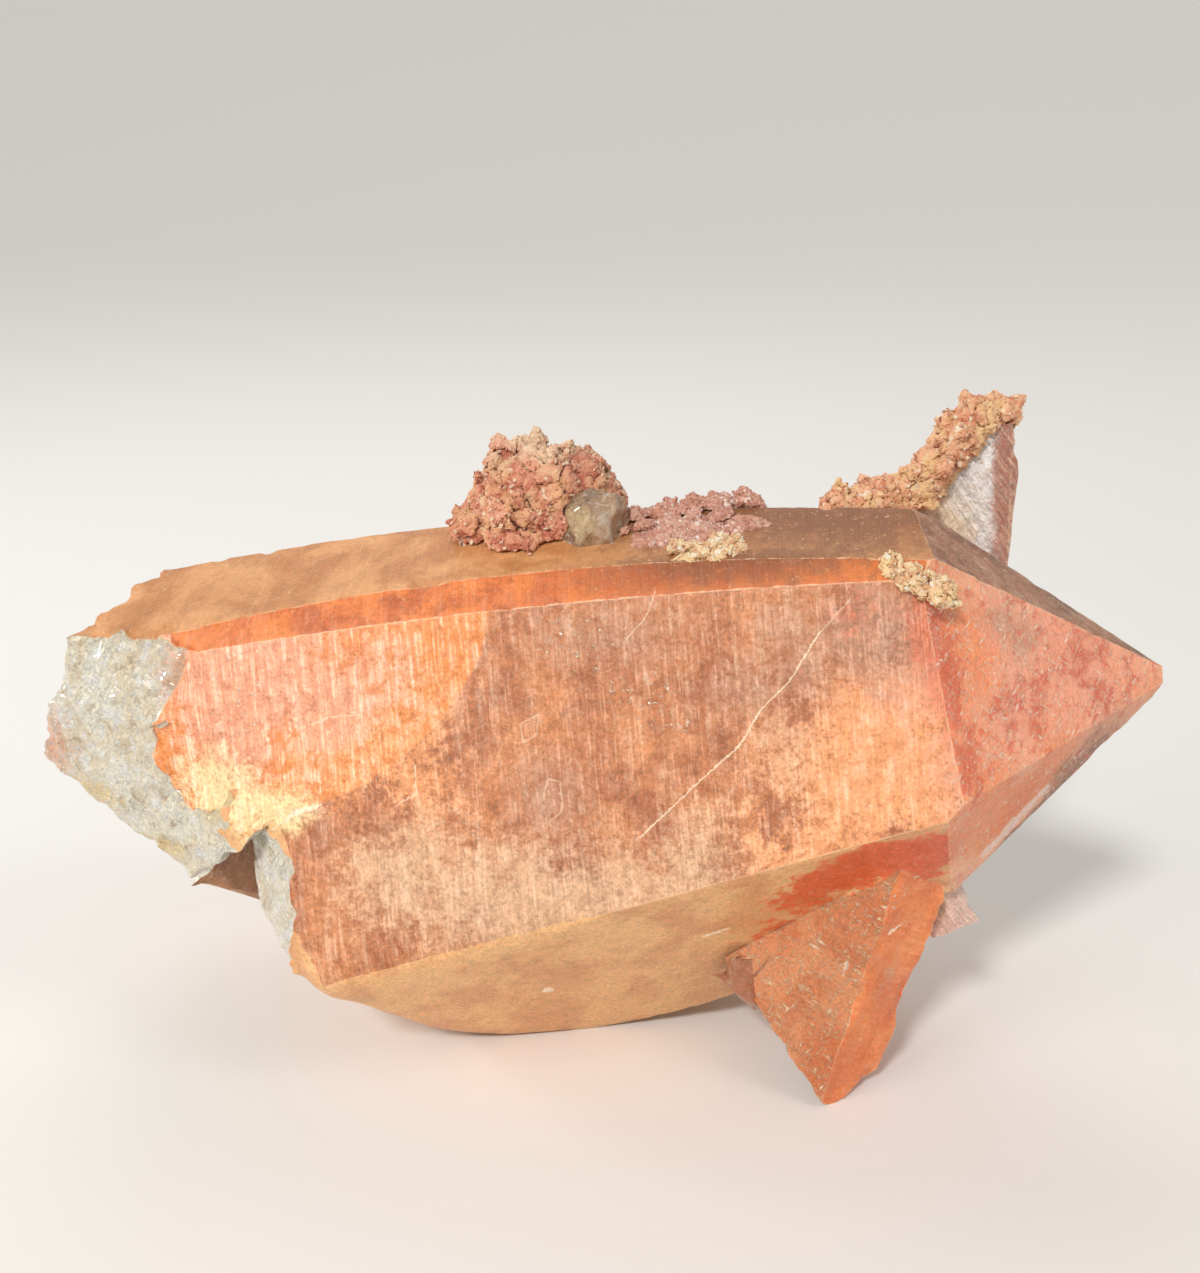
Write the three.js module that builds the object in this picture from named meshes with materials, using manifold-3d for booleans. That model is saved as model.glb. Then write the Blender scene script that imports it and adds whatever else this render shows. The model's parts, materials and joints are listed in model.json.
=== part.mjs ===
// A tangerine quartz cluster lying on its side, in millimetres, +Z up, with the front towards -Y.
// One large crystal runs left to right and comes to its point on the right. Its left end is broken.
// A short crystal under the right end is the front foot and another one behind is the rear foot.
// A broken blade rises at the back. Rusty matrix and crusts of small crystals sit on the top.
import * as THREE from "three";
import { ConvexGeometry } from "three/addons/geometries/ConvexGeometry.js";
import { mergeVertices } from "three/addons/utils/BufferGeometryUtils.js";
import Module from "manifold-3d";

const wasm = await Module();
wasm.setup();

// In quartz a termination face leans this far from the prism face below it.
const CAP_LEAN = 38.2;
// Matrix and crust stand this far off the crystals they grew on.
const SEAT_GAP = 0.35;
// Half the side of the blocks that stand for a half space.
const FAR = 220;

// A crystal is told by a point on its long axis, the turn of its point towards the front, its rise in
// degrees, and its faces. A face's angle runs round the axis from the front (0), over the top (90) to
// the back (180). Its distance is from the axis, taper is per millimetre towards the point, and bow
// curves it inwards. A cap is a termination face, and its reach is where it cuts the axis.
const MAIN = {
  origin: [0, 5, 45],
  turn: 8,
  rise: 7,
  from: -94,
  to: 98,
  stations: 14,
  faces: [
    { angle: 12, distance: 33.6, taper: 0, bow: 0 },
    { angle: 42, distance: 42.6, taper: 0.008, bow: 0.0003 },
    { angle: 72, distance: 43, taper: 0.009, bow: 0.00085 },
    { angle: 132, distance: 26, taper: -0.044, bow: 0.0008 },
    { angle: 192, distance: 29, taper: -0.03, bow: 0 },
    { angle: 250, distance: 40, taper: -0.06, bow: 0 },
    { angle: 282, distance: 46.5, taper: -0.04, bow: 0 },
    { angle: 317, distance: 34.8, taper: -0.174, bow: 0 },
  ],
  caps: [
    { angle: 17, reach: 98.1 },
    { angle: 77.8, reach: 101.4, lean: 40.2 },
    { angle: 132, reach: 96.1, lean: 28 },
    { angle: 197, reach: 77.5 },
    { angle: 258, reach: 76.6, lean: 35.6 },
    { angle: 317, reach: 86.2 },
  ],
};

// The front foot, seen as three long faces and two short ones at its tip. Each is a plane through
// three points.
const FRONT_FOOT = {
  inside: [39, -19, 14],
  box: { from: [16, -46, -4], to: [60, 4, 44] },
  facets: [
    [[39.6, -27.8, 24.9], [35.4, -27, 8.2], [46.6, -20.5, 14.9]],
    [[39.6, -27.8, 24.9], [35.4, -27, 8.2], [34.3, -23.4, 32.4]],
    [[34.5, -26.4, -0.5], [41.8, -20, 2.4], [36, -14, 1.5]],
    [[34.5, -26.4, -0.5], [30.4, -20, 4.1], [33, -12, 3]],
    [[43.6, -20, 4.1], [49.7, -21, 25.7], [41, -9, 8]],
    [[29.3, -19, 7.8], [22.6, -17, 15.8], [31, -9, 8]],
    [[30, -9, 5], [42, -9, 5], [36, -2, 30]],
  ],
};

// The rear foot keeps the cluster from rolling back. It is hidden in the photographed view.
const REAR_FOOT = {
  origin: [-2, 16, 16],
  turn: -104,
  rise: -12,
  from: -14,
  to: 44,
  stations: 1,
  faces: [0, 60, 120, 180, 240, 300].map((angle, i) => ({
    angle: angle + 20,
    distance: [12, 13, 11.5, 13.5, 12, 14][i],
    taper: -0.03,
    bow: 0,
  })),
  caps: [0, 60, 120, 180, 240, 300].map((angle, i) => ({ angle: angle + 20, reach: [35, 33, 38, 34, 37, 35][i] })),
};

// The underside of the large crystal is rounded both ways.
const BELLY = { centre: [-8, 0, 78], radii: [72, 58, 78.5], top: 33 };

// Breaks at the left end: planes through three points, then unevenness in millimetres.
const UPPER_BREAK = { through: [[-58.4, -14.8, 69.5], [-65.6, -16.5, 56], [-81.5, -3.5, 69]], rough: 1.4 };
const LOWER_BREAK = { through: [[-65.6, -16.5, 56], [-52.7, -21.7, 41.4], [-70.6, -9, 36]], rough: 1.8 };
const UNDER_BREAK = { through: [[-89, -3, 47.6], [-63, -12, 30.3], [-82, 10, 42.6]], rough: 1 };
const STRIP_BREAK = { through: [[-46.6, -22.8, 41], [-42.7, -26.9, 25.2], [-52.7, -12, 22.8]], rough: 1.2 };
const NOTCH_BREAK = { through: [[-60.9, -15, 34.4], [-53.4, -20.5, 41.7], [-55, -3, 39]], rough: 0.8 };
const SIDE_BREAK = { through: [[-53.5, -12, 36], [-52.3, -12, 23], [-56.5, 8, 28]], rough: 0.8 };
const LOW_SIDE_BREAK = { through: [[-51.5, -13, 25], [-42.5, -14, 16.8], [-46, 6, 19]], rough: 0.7 };
const END_BREAK = { through: [[-83.5, -6, 67.5], [-93, -9, 50], [-79, 2.6, 67.5]], rough: 1 };
// A bite out of the broken end and a scoop out of the front face beside it: a middle and a radius.
const END_BITE = [-87, -6, 62, 5];
const SCOOP = [-67, -34.6, 53, 20];

// The smooth flank behind the broken end, as its corners.
const FLANK = [
  [-68, 8, 22], [-56, 8, 18.8], [-46, 9, 14], [-69, 9, 40], [-50, 8, 44],
  [-66, 24, 27], [-48, 28, 18], [-67, 24, 46], [-42, 26, 40],
];

// The broken blade at the back right, as the corners of its front and back.
const BLADE = [
  [40, 6, 83], [52, 5, 90], [57, 5.5, 98], [64, 6, 100.5], [65.6, 6.5, 92], [64.6, 6, 76], [45, 6, 70],
  [44, 14, 82], [54, 14, 92], [62, 14, 98], [64, 14.5, 88], [63, 14, 54], [45, 14, 54],
];

// Small bits of crystal, each as its corners.
const BITS = [
  [[50, -17, 37], [53, -10, 37], [49, -10, 30], [51.5, -15.5, 23], [58.8, -15, 25.8], [54.5, -17, 25], [57, -13, 28]],
  [[18, -14, 16], [21.5, -17.5, 21], [24.5, -19, 13], [27, -17, 9.5], [30, -18, 20], [26, -10, 14]],
  [[22, -12, 13], [23, -18, 17.5], [28, -20, 24], [32, -21, 21], [30, -14, 12]],
];

// Lumps of matrix and crust, each a middle and a radius.
const KNOB = [
  [-9.5, -1, 89, 9], [-15.5, -2, 86, 6], [-12.5, 0, 92, 6], [-4, 0, 89.5, 7.2], [-9, 6, 84, 9.5], [-12, -6, 86.5, 6],
  [-18.5, -3, 83.5, 4.5], [-6, -6, 87, 5],
];
const BLADE_CRUST = [
  ...row([37.5, 4, 86.8], [50, 5, 90], 5, 3.6), ...row([50, 5, 90.5], [58.5, 7, 100.4], 5, 3.9), [63, 8, 101, 2.8],
  [46, 7, 87, 5], [57, 11, 97, 4.5],
];
const RIDGE_CRUST = [...row([1, -6.5, 86.3], [22, -6.5, 89.2], 6, 2.7), ...row([3, -10, 85.4], [18, -10, 87.5], 5, 2.6)];
const TOP_PATCH = row([11.5, -17.4, 84.6], [20, -19.4, 84.8], 4, 2.1);
const CORNER_PATCH = row([40.5, -26.5, 84.6], [46.5, -31.5, 82.6], 4, 2.2);

// A short smoky crystal that grew at the front of the knob.
const KNOB_CRYSTAL = {
  origin: [-1.5, -8, 86],
  turn: 40,
  rise: 50,
  from: -8,
  to: 10,
  stations: 1,
  faces: [10, 70, 130, 190, 250, 310].map((angle, i) => ({ angle, distance: 4.2 + 0.3 * (i % 3), taper: 0, bow: 0 })),
  caps: [10, 70, 130, 190, 250, 310].map((angle, i) => ({ angle, reach: 8.5 + (i % 2) })),
};

// Lumps of one size in a row between two points.
function row(from, to, count, radius) {
  const [a, b] = [from, to].map((v) => new THREE.Vector3(...v));
  return Array.from({ length: count }, (_, i) => [...a.clone().lerp(b, i / (count - 1)), radius]);
}

// Repeatable random numbers from 0 to 1.
function dice(seed) {
  let state = seed;
  return () => {
    state = (state * 1664525 + 1013904223) % 4294967296;
    return state / 4294967296;
  };
}

// Smooth bumps from -1 to 1 over space, one random height to a unit of length.
function bumps(x, y, z, seed) {
  const height = (i, j, k) => {
    const v = Math.sin(i * 127.1 + j * 311.7 + k * 74.7 + seed * 17.3) * 43758.5453;
    return 2 * (v - Math.floor(v)) - 1;
  };
  const [i, j, k] = [x, y, z].map(Math.floor);
  const [u, v, w] = [x - i, y - j, z - k].map((t) => t * t * (3 - 2 * t));
  const mix = THREE.MathUtils.lerp;
  const layer = (n) =>
    mix(mix(height(i, j, n), height(i + 1, j, n), u), mix(height(i, j + 1, n), height(i + 1, j + 1, n), u), v);
  return mix(layer(k), layer(k + 1), w);
}

// A solid from a three.js geometry.
function solid(geometry) {
  const g = geometry.clone();
  g.deleteAttribute("normal");
  g.deleteAttribute("uv");
  const merged = mergeVertices(g, 1e-4);
  return new wasm.Manifold(
    new wasm.Mesh({
      numProp: 3,
      vertProperties: merged.attributes.position.array,
      triVerts: new Uint32Array(merged.index.array),
    }),
  );
}

// The largest of the separate bodies that cutting left.
function largest(shape) {
  return shape.decompose().reduce((a, b) => (b.volume() > a.volume() ? b : a));
}

// A named mesh from a solid.
function node(name, shape, material) {
  const { vertProperties, triVerts } = shape.getMesh();
  const geometry = new THREE.BufferGeometry()
    .setAttribute("position", new THREE.BufferAttribute(vertProperties, 3))
    .setIndex(new THREE.BufferAttribute(triVerts, 1));
  geometry.computeVertexNormals();
  const mesh = new THREE.Mesh(geometry, material);
  mesh.name = name;
  return mesh;
}

// A crystal's own directions: along its axis, towards the front, and up.
function axes({ turn, rise }) {
  const t = THREE.MathUtils.degToRad(turn);
  const r = THREE.MathUtils.degToRad(rise);
  const along = new THREE.Vector3(Math.cos(r) * Math.cos(t), -Math.cos(r) * Math.sin(t), Math.sin(r));
  const front = new THREE.Vector3(-Math.sin(t), -Math.cos(t), 0);
  const up = new THREE.Vector3().crossVectors(front, along);
  return { along, front, up };
}

// The side of a prism face, seen along the crystal's axis.
function outward({ front, up }, angle) {
  const a = THREE.MathUtils.degToRad(angle);
  return front.clone().multiplyScalar(Math.cos(a)).addScaledVector(up, Math.sin(a));
}

// The rotation that takes +Z to a direction.
function facing(normal) {
  return new THREE.Quaternion().setFromUnitVectors(new THREE.Vector3(0, 0, 1), normal);
}

// What lies beyond the plane through a point, on the side that its normal points to.
function beyond(point, normal) {
  const block = new THREE.BoxGeometry(2 * FAR, 2 * FAR, 2 * FAR);
  const centre = point.clone().addScaledVector(normal, FAR);
  block.applyMatrix4(new THREE.Matrix4().compose(centre, facing(normal), new THREE.Vector3(1, 1, 1)));
  return solid(block);
}

// The plane through three points, with its normal away from a point inside.
function plane([a, b, c], inside) {
  const [p, q, r] = [a, b, c].map((v) => new THREE.Vector3(...v));
  const normal = q.clone().sub(p).cross(r.clone().sub(p)).normalize();
  if (normal.dot(new THREE.Vector3(...inside).sub(p)) > 0) normal.negate();
  return { point: p.clone().add(q).add(r).divideScalar(3), normal };
}

// What lies beyond a break: a thick slab whose near side is uneven, with waves that widen from a point.
function broken({ through, rough }, inside, seed) {
  const { point, normal } = plane(through, inside);
  const side = 130;
  const slab = new THREE.BoxGeometry(side, side, 60, 26, 26, 1);
  const spots = slab.attributes.position;
  for (let i = 0; i < spots.count; i++) {
    const [x, y, z] = [spots.getX(i), spots.getY(i), spots.getZ(i)];
    if (z > 0) continue;
    const swell = bumps(x / 21, y / 21, 0.5, seed);
    const chip = bumps(x / 8, y / 8, 0.5, seed + 1);
    spots.setZ(i, z + rough * (swell + 0.45 * chip));
  }
  slab.translate(0, 0, 30);
  slab.applyMatrix4(new THREE.Matrix4().compose(point, facing(normal), new THREE.Vector3(1, 1, 1)));
  return solid(slab);
}

// The prism of a crystal: rings of corners where neighbouring faces meet, joined along the axis.
function prism(crystal) {
  const { origin, from, to, stations, faces } = crystal;
  const base = new THREE.Vector3(...origin);
  const frame = axes(crystal);
  const sides = faces.length;
  const corners = [];
  for (let i = 0; i <= stations; i++) {
    const s = from + ((to - from) * i) / stations;
    const lines = faces.map(({ angle, distance, taper, bow }) => ({
      a: THREE.MathUtils.degToRad(angle),
      d: distance + taper * s - bow * s * s,
    }));
    lines.forEach((line, k) => {
      const next = lines[(k + 1) % sides];
      const det = Math.sin(next.a - line.a);
      const p = (line.d * Math.sin(next.a) - next.d * Math.sin(line.a)) / det;
      const q = (next.d * Math.cos(line.a) - line.d * Math.cos(next.a)) / det;
      const corner = base.clone().addScaledVector(frame.along, s);
      corners.push(corner.addScaledVector(frame.front, p).addScaledVector(frame.up, q));
    });
  }
  const at = (i, k) => i * sides + (k % sides);
  const triangles = [];
  for (let i = 0; i < stations; i++)
    for (let k = 0; k < sides; k++)
      triangles.push(
        [at(i, k), at(i + 1, k), at(i, k + 1)],
        [at(i + 1, k), at(i + 1, k + 1), at(i, k + 1)],
      );
  for (let k = 1; k < sides - 1; k++)
    triangles.push([at(0, 0), at(0, k), at(0, k + 1)], [at(stations, 0), at(stations, k + 1), at(stations, k)]);
  return solid(new THREE.BufferGeometry().setFromPoints(corners).setIndex(triangles.flat()));
}

// A whole crystal: its prism with the termination faces cut.
function crystal(spec) {
  const base = new THREE.Vector3(...spec.origin);
  const frame = axes(spec);
  let shape = prism(spec);
  for (const { angle, reach, lean = CAP_LEAN } of spec.caps) {
    const a = THREE.MathUtils.degToRad(lean);
    const normal = outward(frame, angle).multiplyScalar(Math.cos(a)).addScaledVector(frame.along, Math.sin(a));
    shape = shape.subtract(beyond(base.clone().addScaledVector(frame.along, reach), normal));
  }
  return shape;
}

// A block with a plane cut for every facet.
function faceted({ inside, box, facets }) {
  const low = new THREE.Vector3(...box.from);
  const high = new THREE.Vector3(...box.to);
  const size = high.clone().sub(low);
  const middle = low.clone().add(high).divideScalar(2);
  let shape = solid(new THREE.BoxGeometry(size.x, size.y, size.z).translate(middle.x, middle.y, middle.z));
  for (const facet of facets) {
    const { point, normal } = plane(facet, inside);
    shape = shape.subtract(beyond(point, normal));
  }
  return shape;
}

// The smallest solid round a few corners.
function hull(corners) {
  return solid(new ConvexGeometry(corners.map((c) => new THREE.Vector3(...c))));
}

// What the rounded underside takes away.
function underBelly({ centre, radii, top }) {
  const block = new THREE.BoxGeometry(2 * FAR, 2 * FAR, FAR).translate(0, 0, top - FAR / 2);
  const round = new THREE.IcosahedronGeometry(1, 9).scale(...radii).translate(...centre);
  return solid(block).subtract(solid(round));
}

// The large crystal with its rounded underside and its broken left end.
function largeCrystal() {
  const middle = MAIN.origin;
  const above = [-62, 0, 60];
  const under = broken(UNDER_BREAK, above, 5).add(broken(NOTCH_BREAK, above, 8));
  const side = broken(STRIP_BREAK, middle, 7)
    .add(broken(SIDE_BREAK, middle, 10))
    .add(broken(LOW_SIDE_BREAK, middle, 12));
  return crystal(MAIN)
    .subtract(underBelly(BELLY))
    .subtract(broken(LOWER_BREAK, middle, 4).subtract(under.translate([0.4, 0, -0.6])))
    .subtract(under.intersect(side))
    .add(hull(FLANK))
    .subtract(broken(UPPER_BREAK, middle, 3))
    .subtract(broken(END_BREAK, middle, 6))
    .subtract(lump(END_BITE, 9))
    .subtract(lump(SCOOP, 14, 7, 0.02));
}

// All the quartz, grown together in one piece and cut flat where it touches the table.
function quartz() {
  let shape = largeCrystal().add(faceted(FRONT_FOOT)).add(crystal(REAR_FOOT)).add(hull(BLADE)).add(crystal(KNOB_CRYSTAL));
  for (const bit of BITS) shape = shape.add(hull(bit));
  return largest(shape.subtract(beyond(new THREE.Vector3(0, 0, 0), new THREE.Vector3(0, 0, -1))));
}

// A rounded lump with an uneven skin.
function lump([x, y, z, radius], seed, detail = 3, rough = 0.14) {
  const ball = new THREE.IcosahedronGeometry(radius, detail);
  const spots = ball.attributes.position;
  const v = new THREE.Vector3();
  for (let i = 0; i < spots.count; i++) {
    v.fromBufferAttribute(spots, i);
    const uneven = bumps(v.x / 3.6, v.y / 3.6, v.z / 3.6, seed) + 0.6 * bumps(v.x / 1.7, v.y / 1.7, v.z / 1.7, seed);
    v.multiplyScalar(1 + rough * uneven);
    spots.setXYZ(i, v.x, v.y, v.z);
  }
  return solid(ball.translate(x, y, z));
}

// A tiny crystal: a six-sided body, pointed at both ends.
function grain(at, direction, radius, length) {
  const outline = [[0, -0.5], [1, 0], [0, 0.5]].map(([x, y]) => new THREE.Vector2(x * radius, y * length));
  const turn = new THREE.Quaternion().setFromUnitVectors(new THREE.Vector3(0, 1, 0), direction);
  const move = new THREE.Matrix4().compose(at, turn, new THREE.Vector3(1, 1, 1));
  return solid(new THREE.LatheGeometry(outline, 6).applyMatrix4(move));
}

// A crust: lumps with tiny crystals on them, cut clear of the quartz by the seat gap.
function crust(lumps, grains, size, seed, detail, body) {
  const roll = dice(seed);
  let shape = lumps.map((l, i) => lump(l, seed + i, detail)).reduce((a, b) => a.add(b));
  for (let i = 0; i < grains; i++) {
    const [x, y, z, radius] = lumps[Math.floor(roll() * lumps.length)];
    const direction = new THREE.Vector3(2 * roll() - 1, 2 * roll() - 1.25, 2 * roll() - 0.5).normalize();
    const at = new THREE.Vector3(x, y, z).addScaledVector(direction, radius * 0.97);
    const lean = new THREE.Vector3(roll() - 0.5, roll() - 0.5, roll() - 0.5).add(direction).normalize();
    shape = shape.add(grain(at, lean, size * (0.7 + 0.6 * roll()), size * (2.4 + roll())));
  }
  for (const step of [[0, 0, 1], [0, 0, -1], [0, 1, 0], [0, -1, 0], [1, 0, 0], [-1, 0, 0], [0, 0, 0]])
    shape = shape.subtract(body.translate(step.map((v) => v * SEAT_GAP)));
  return largest(shape);
}

const MATERIALS = {
  quartz: new THREE.MeshStandardMaterial({ color: 0xd98a5f, roughness: 0.45, metalness: 0 }),
  matrix: new THREE.MeshStandardMaterial({ color: 0xa8583e, roughness: 0.85, metalness: 0 }),
  bladeCrust: new THREE.MeshStandardMaterial({ color: 0xb8694a, roughness: 0.85, metalness: 0 }),
  ridgeCrust: new THREE.MeshStandardMaterial({ color: 0xa5605a, roughness: 0.7, metalness: 0 }),
  topPatch: new THREE.MeshStandardMaterial({ color: 0xd9a377, roughness: 0.8, metalness: 0 }),
  cornerPatch: new THREE.MeshStandardMaterial({ color: 0xd8a070, roughness: 0.8, metalness: 0 }),
};

const body = quartz();
const cluster = new THREE.Group();
cluster.add(
  node("quartz_crystals", body, MATERIALS.quartz),
  node("matrix_knob", crust(KNOB, 66, 1.7, 11, 3, body), MATERIALS.matrix),
  node("blade_crust", crust(BLADE_CRUST, 36, 1.5, 29, 1, body), MATERIALS.bladeCrust),
  node("ridge_crust", crust(RIDGE_CRUST, 26, 1.1, 37, 1, body), MATERIALS.ridgeCrust),
  node("top_patch", crust(TOP_PATCH, 14, 0.8, 41, 1, body), MATERIALS.topPatch),
  node("corner_patch", crust(CORNER_PATCH, 14, 0.8, 53, 1, body), MATERIALS.cornerPatch),
);

// The origin is under the middle of the cluster, on the table.
const bounds = new THREE.Box3().setFromObject(cluster);
const middle = bounds.getCenter(new THREE.Vector3());
cluster.position.set(-middle.x, -middle.y, -bounds.min.z);

export default cluster;
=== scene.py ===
"""Dresses the tangerine quartz cluster: stained crystal faces, glassy breaks and granular crusts.

Sizes are in millimetres in the row's frame, except those of the studio, which are in metres. The large
crystal's long axis runs left to right and the photographed front faces -Y.
"""

from __future__ import annotations

import json
import logging
import math
from dataclasses import dataclass
from enum import Enum
from functools import partial

import bmesh
import bpy
import numpy as np
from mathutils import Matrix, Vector, geometry, kdtree
from mathutils.bvhtree import BVHTree

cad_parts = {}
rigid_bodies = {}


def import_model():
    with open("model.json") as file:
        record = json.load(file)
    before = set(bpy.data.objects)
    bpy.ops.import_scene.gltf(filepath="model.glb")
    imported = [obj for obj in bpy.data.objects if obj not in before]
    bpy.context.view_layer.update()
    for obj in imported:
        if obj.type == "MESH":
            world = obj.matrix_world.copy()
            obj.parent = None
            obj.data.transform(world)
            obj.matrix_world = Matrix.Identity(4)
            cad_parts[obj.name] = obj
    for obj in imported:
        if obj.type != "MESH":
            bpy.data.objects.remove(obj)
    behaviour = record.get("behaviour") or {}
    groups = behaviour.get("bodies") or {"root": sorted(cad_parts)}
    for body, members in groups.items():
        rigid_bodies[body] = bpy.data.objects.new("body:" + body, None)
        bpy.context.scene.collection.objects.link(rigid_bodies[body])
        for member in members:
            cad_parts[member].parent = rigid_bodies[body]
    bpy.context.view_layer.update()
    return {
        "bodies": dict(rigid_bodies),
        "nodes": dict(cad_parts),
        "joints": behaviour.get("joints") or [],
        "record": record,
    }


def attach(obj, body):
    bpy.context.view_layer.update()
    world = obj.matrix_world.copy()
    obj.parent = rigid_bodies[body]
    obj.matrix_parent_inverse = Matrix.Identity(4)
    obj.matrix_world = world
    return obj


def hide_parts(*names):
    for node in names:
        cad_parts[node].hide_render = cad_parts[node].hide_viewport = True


MM = 0.001
ALONG = (0.98289, -0.13814, 0.12187)
FRONT_SIDE = (-0.13917, -0.99027, 0.0)
UPWARD = (-0.12068, 0.01696, 0.99255)

QUARTZ_IOR = 1.544
CRUST_IOR = 1.54
GLOW_REACH = (1.0, 0.42, 0.22)
GLOW_DEPTH = 1.8 * MM
FAR = 4.0
STAIN_REACH = 1.3
TRAIL_STEPS = 50
HASH_PRIMES = (73856093, 19349663, 83492791)

Colour = tuple[float, float, float]
Triple = tuple[float, float, float]

log = logging.getLogger("quartz_cluster")


def tint(red: float, green: float, blue: float) -> Colour:
    """Turns a display colour into scene-linear values.

    Args:
        red: Red from 0 to 255.
        green: Green from 0 to 255.
        blue: Blue from 0 to 255.

    Returns:
        The same colour as linear red, green and blue.
    """
    parts = (c / 255 for c in (red, green, blue))
    return tuple(c / 12.92 if c <= 0.04045 else ((c + 0.055) / 1.055) ** 2.4 for c in parts)


def bumps(points: np.ndarray, size: float | Triple, seed: int) -> np.ndarray:
    """Smooth repeatable noise.

    Args:
        points: Places, one a row.
        size: Width of a bump, or its width along each direction.
        seed: Picks the pattern.

    Returns:
        Heights from -1 to 1.
    """
    p = points / np.asarray(size, float) + seed * 7.31
    cell = np.floor(p).astype(np.int64)
    t = p - cell
    t = t * t * t * (t * (6 * t - 15) + 10)
    total = np.zeros(len(points))
    for corner in range(8):
        step = np.array([corner & 1, corner >> 1 & 1, corner >> 2 & 1])
        c = cell + step
        x, y, z = (c[:, k] * HASH_PRIMES[k] for k in range(3))
        mixed = x ^ y ^ z ^ (seed * 2654435)
        mixed = (mixed ^ (mixed >> 13)) * 1274126177 & 0x7FFFFFFF
        height = ((mixed ^ (mixed >> 16)) & 0xFFFF) / 32767.5 - 1
        total += height * np.prod(np.where(step == 1, t, 1 - t), axis=1)
    return total


def crests(points: np.ndarray, size: float | Triple, seed: int) -> np.ndarray:
    """Noise with sharp crests, from -0.6 in the valleys to 0.4 on the crests."""
    return 1 - np.abs(bumps(points, size, seed)) - 0.6


def ease(values: np.ndarray, low: float, high: float) -> np.ndarray:
    """A smooth step from 0 at low to 1 at high."""
    t = np.clip((values - low) / (high - low), 0, 1)
    return t * t * (3 - 2 * t)


def distance_to(points: np.ndarray, others: np.ndarray) -> np.ndarray:
    """The distance from each point to the nearest of the others.

    Args:
        points: Places, one a row.
        others: The places to measure to.

    Returns:
        The distances in millimetres, cut off at FAR.
    """
    tree = kdtree.KDTree(len(others))
    for i, p in enumerate(others):
        tree.insert(p, i)
    tree.balance()
    return np.array([min(tree.find(p)[2], FAR) for p in points])


def between_corners(corners: tuple[Triple, ...]) -> np.ndarray:
    """Places along a bent line in space, evenly spaced between each two corners."""
    parts = [np.linspace(a, b, TRAIL_STEPS) for a, b in zip(np.array(corners), np.array(corners)[1:])]
    return np.concatenate(parts)


def placed(name: str, data: bpy.types.ID) -> bpy.types.Object:
    """Puts an object in the scene.

    Args:
        name: The object's name.
        data: Its mesh, light or camera.

    Returns:
        The object.
    """
    made = bpy.data.objects.new(name, data)
    bpy.context.scene.collection.objects.link(made)
    return made


class Zone(Enum):
    """The kinds of surface on the quartz, in the order of the mesh's material slots."""

    FRONT = 0
    BEVEL = 1
    TOP = 2
    TIP = 3
    UNDER = 4
    FOOT_FROSTED = 5
    FOOT_SMOOTH = 6
    BLADE = 7
    SMOKY = 8
    BROKEN = 9
    TIP_TOP = 10
    BACK = 11


@dataclass(frozen=True)
class FacePlane:
    """A crystal face as a plane, so that the solid's triangles can be told apart."""

    zone: Zone
    normal: Triple
    offset: float
    reach: float = 0.6
    turn: float = 2.0

    def fits(self, normal: np.ndarray, middle: np.ndarray) -> bool:
        """Tells whether a flat face lies in this plane.

        Args:
            normal: The face's unit normal.
            middle: The mean of its corners.

        Returns:
            True if it does.
        """
        own = np.array(self.normal)
        near = abs(float(middle @ own) - self.offset) < self.reach
        return bool(near and normal @ own > math.cos(math.radians(self.turn)))


@dataclass(frozen=True)
class Ball:
    """A part of the quartz told by its place."""

    zone: Zone
    centre: Triple
    radii: Triple

    def holds(self, place: np.ndarray) -> bool:
        """Tells whether a place lies inside."""
        return bool(np.sum(((place - self.centre) / self.radii) ** 2) < 1)


@dataclass(frozen=True)
class Stain:
    """A soft patch of one stain: its middle, its half widths and how full it is."""

    centre: Triple
    radii: Triple
    fullness: float = 1.0

    def away(self, points: np.ndarray) -> np.ndarray:
        """How far points lie from the middle, with 1 at the half widths."""
        return np.linalg.norm((points - self.centre) / self.radii, axis=1)


@dataclass(frozen=True)
class Trail:
    """A narrow run of one stain along a bent line in space, with a width of less than FAR / STAIN_REACH."""

    corners: tuple[Triple, ...]
    width: float
    fullness: float = 1.0

    def away(self, points: np.ndarray) -> np.ndarray:
        """How far points lie from the line, with 1 at its width."""
        return distance_to(points, between_corners(self.corners)) / self.width


@dataclass(frozen=True)
class Line:
    """A thin healed crack or etched outline, as its corners in X and Z on the front face."""

    corners: tuple[tuple[float, float], ...]
    fade: float = 1.0


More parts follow.
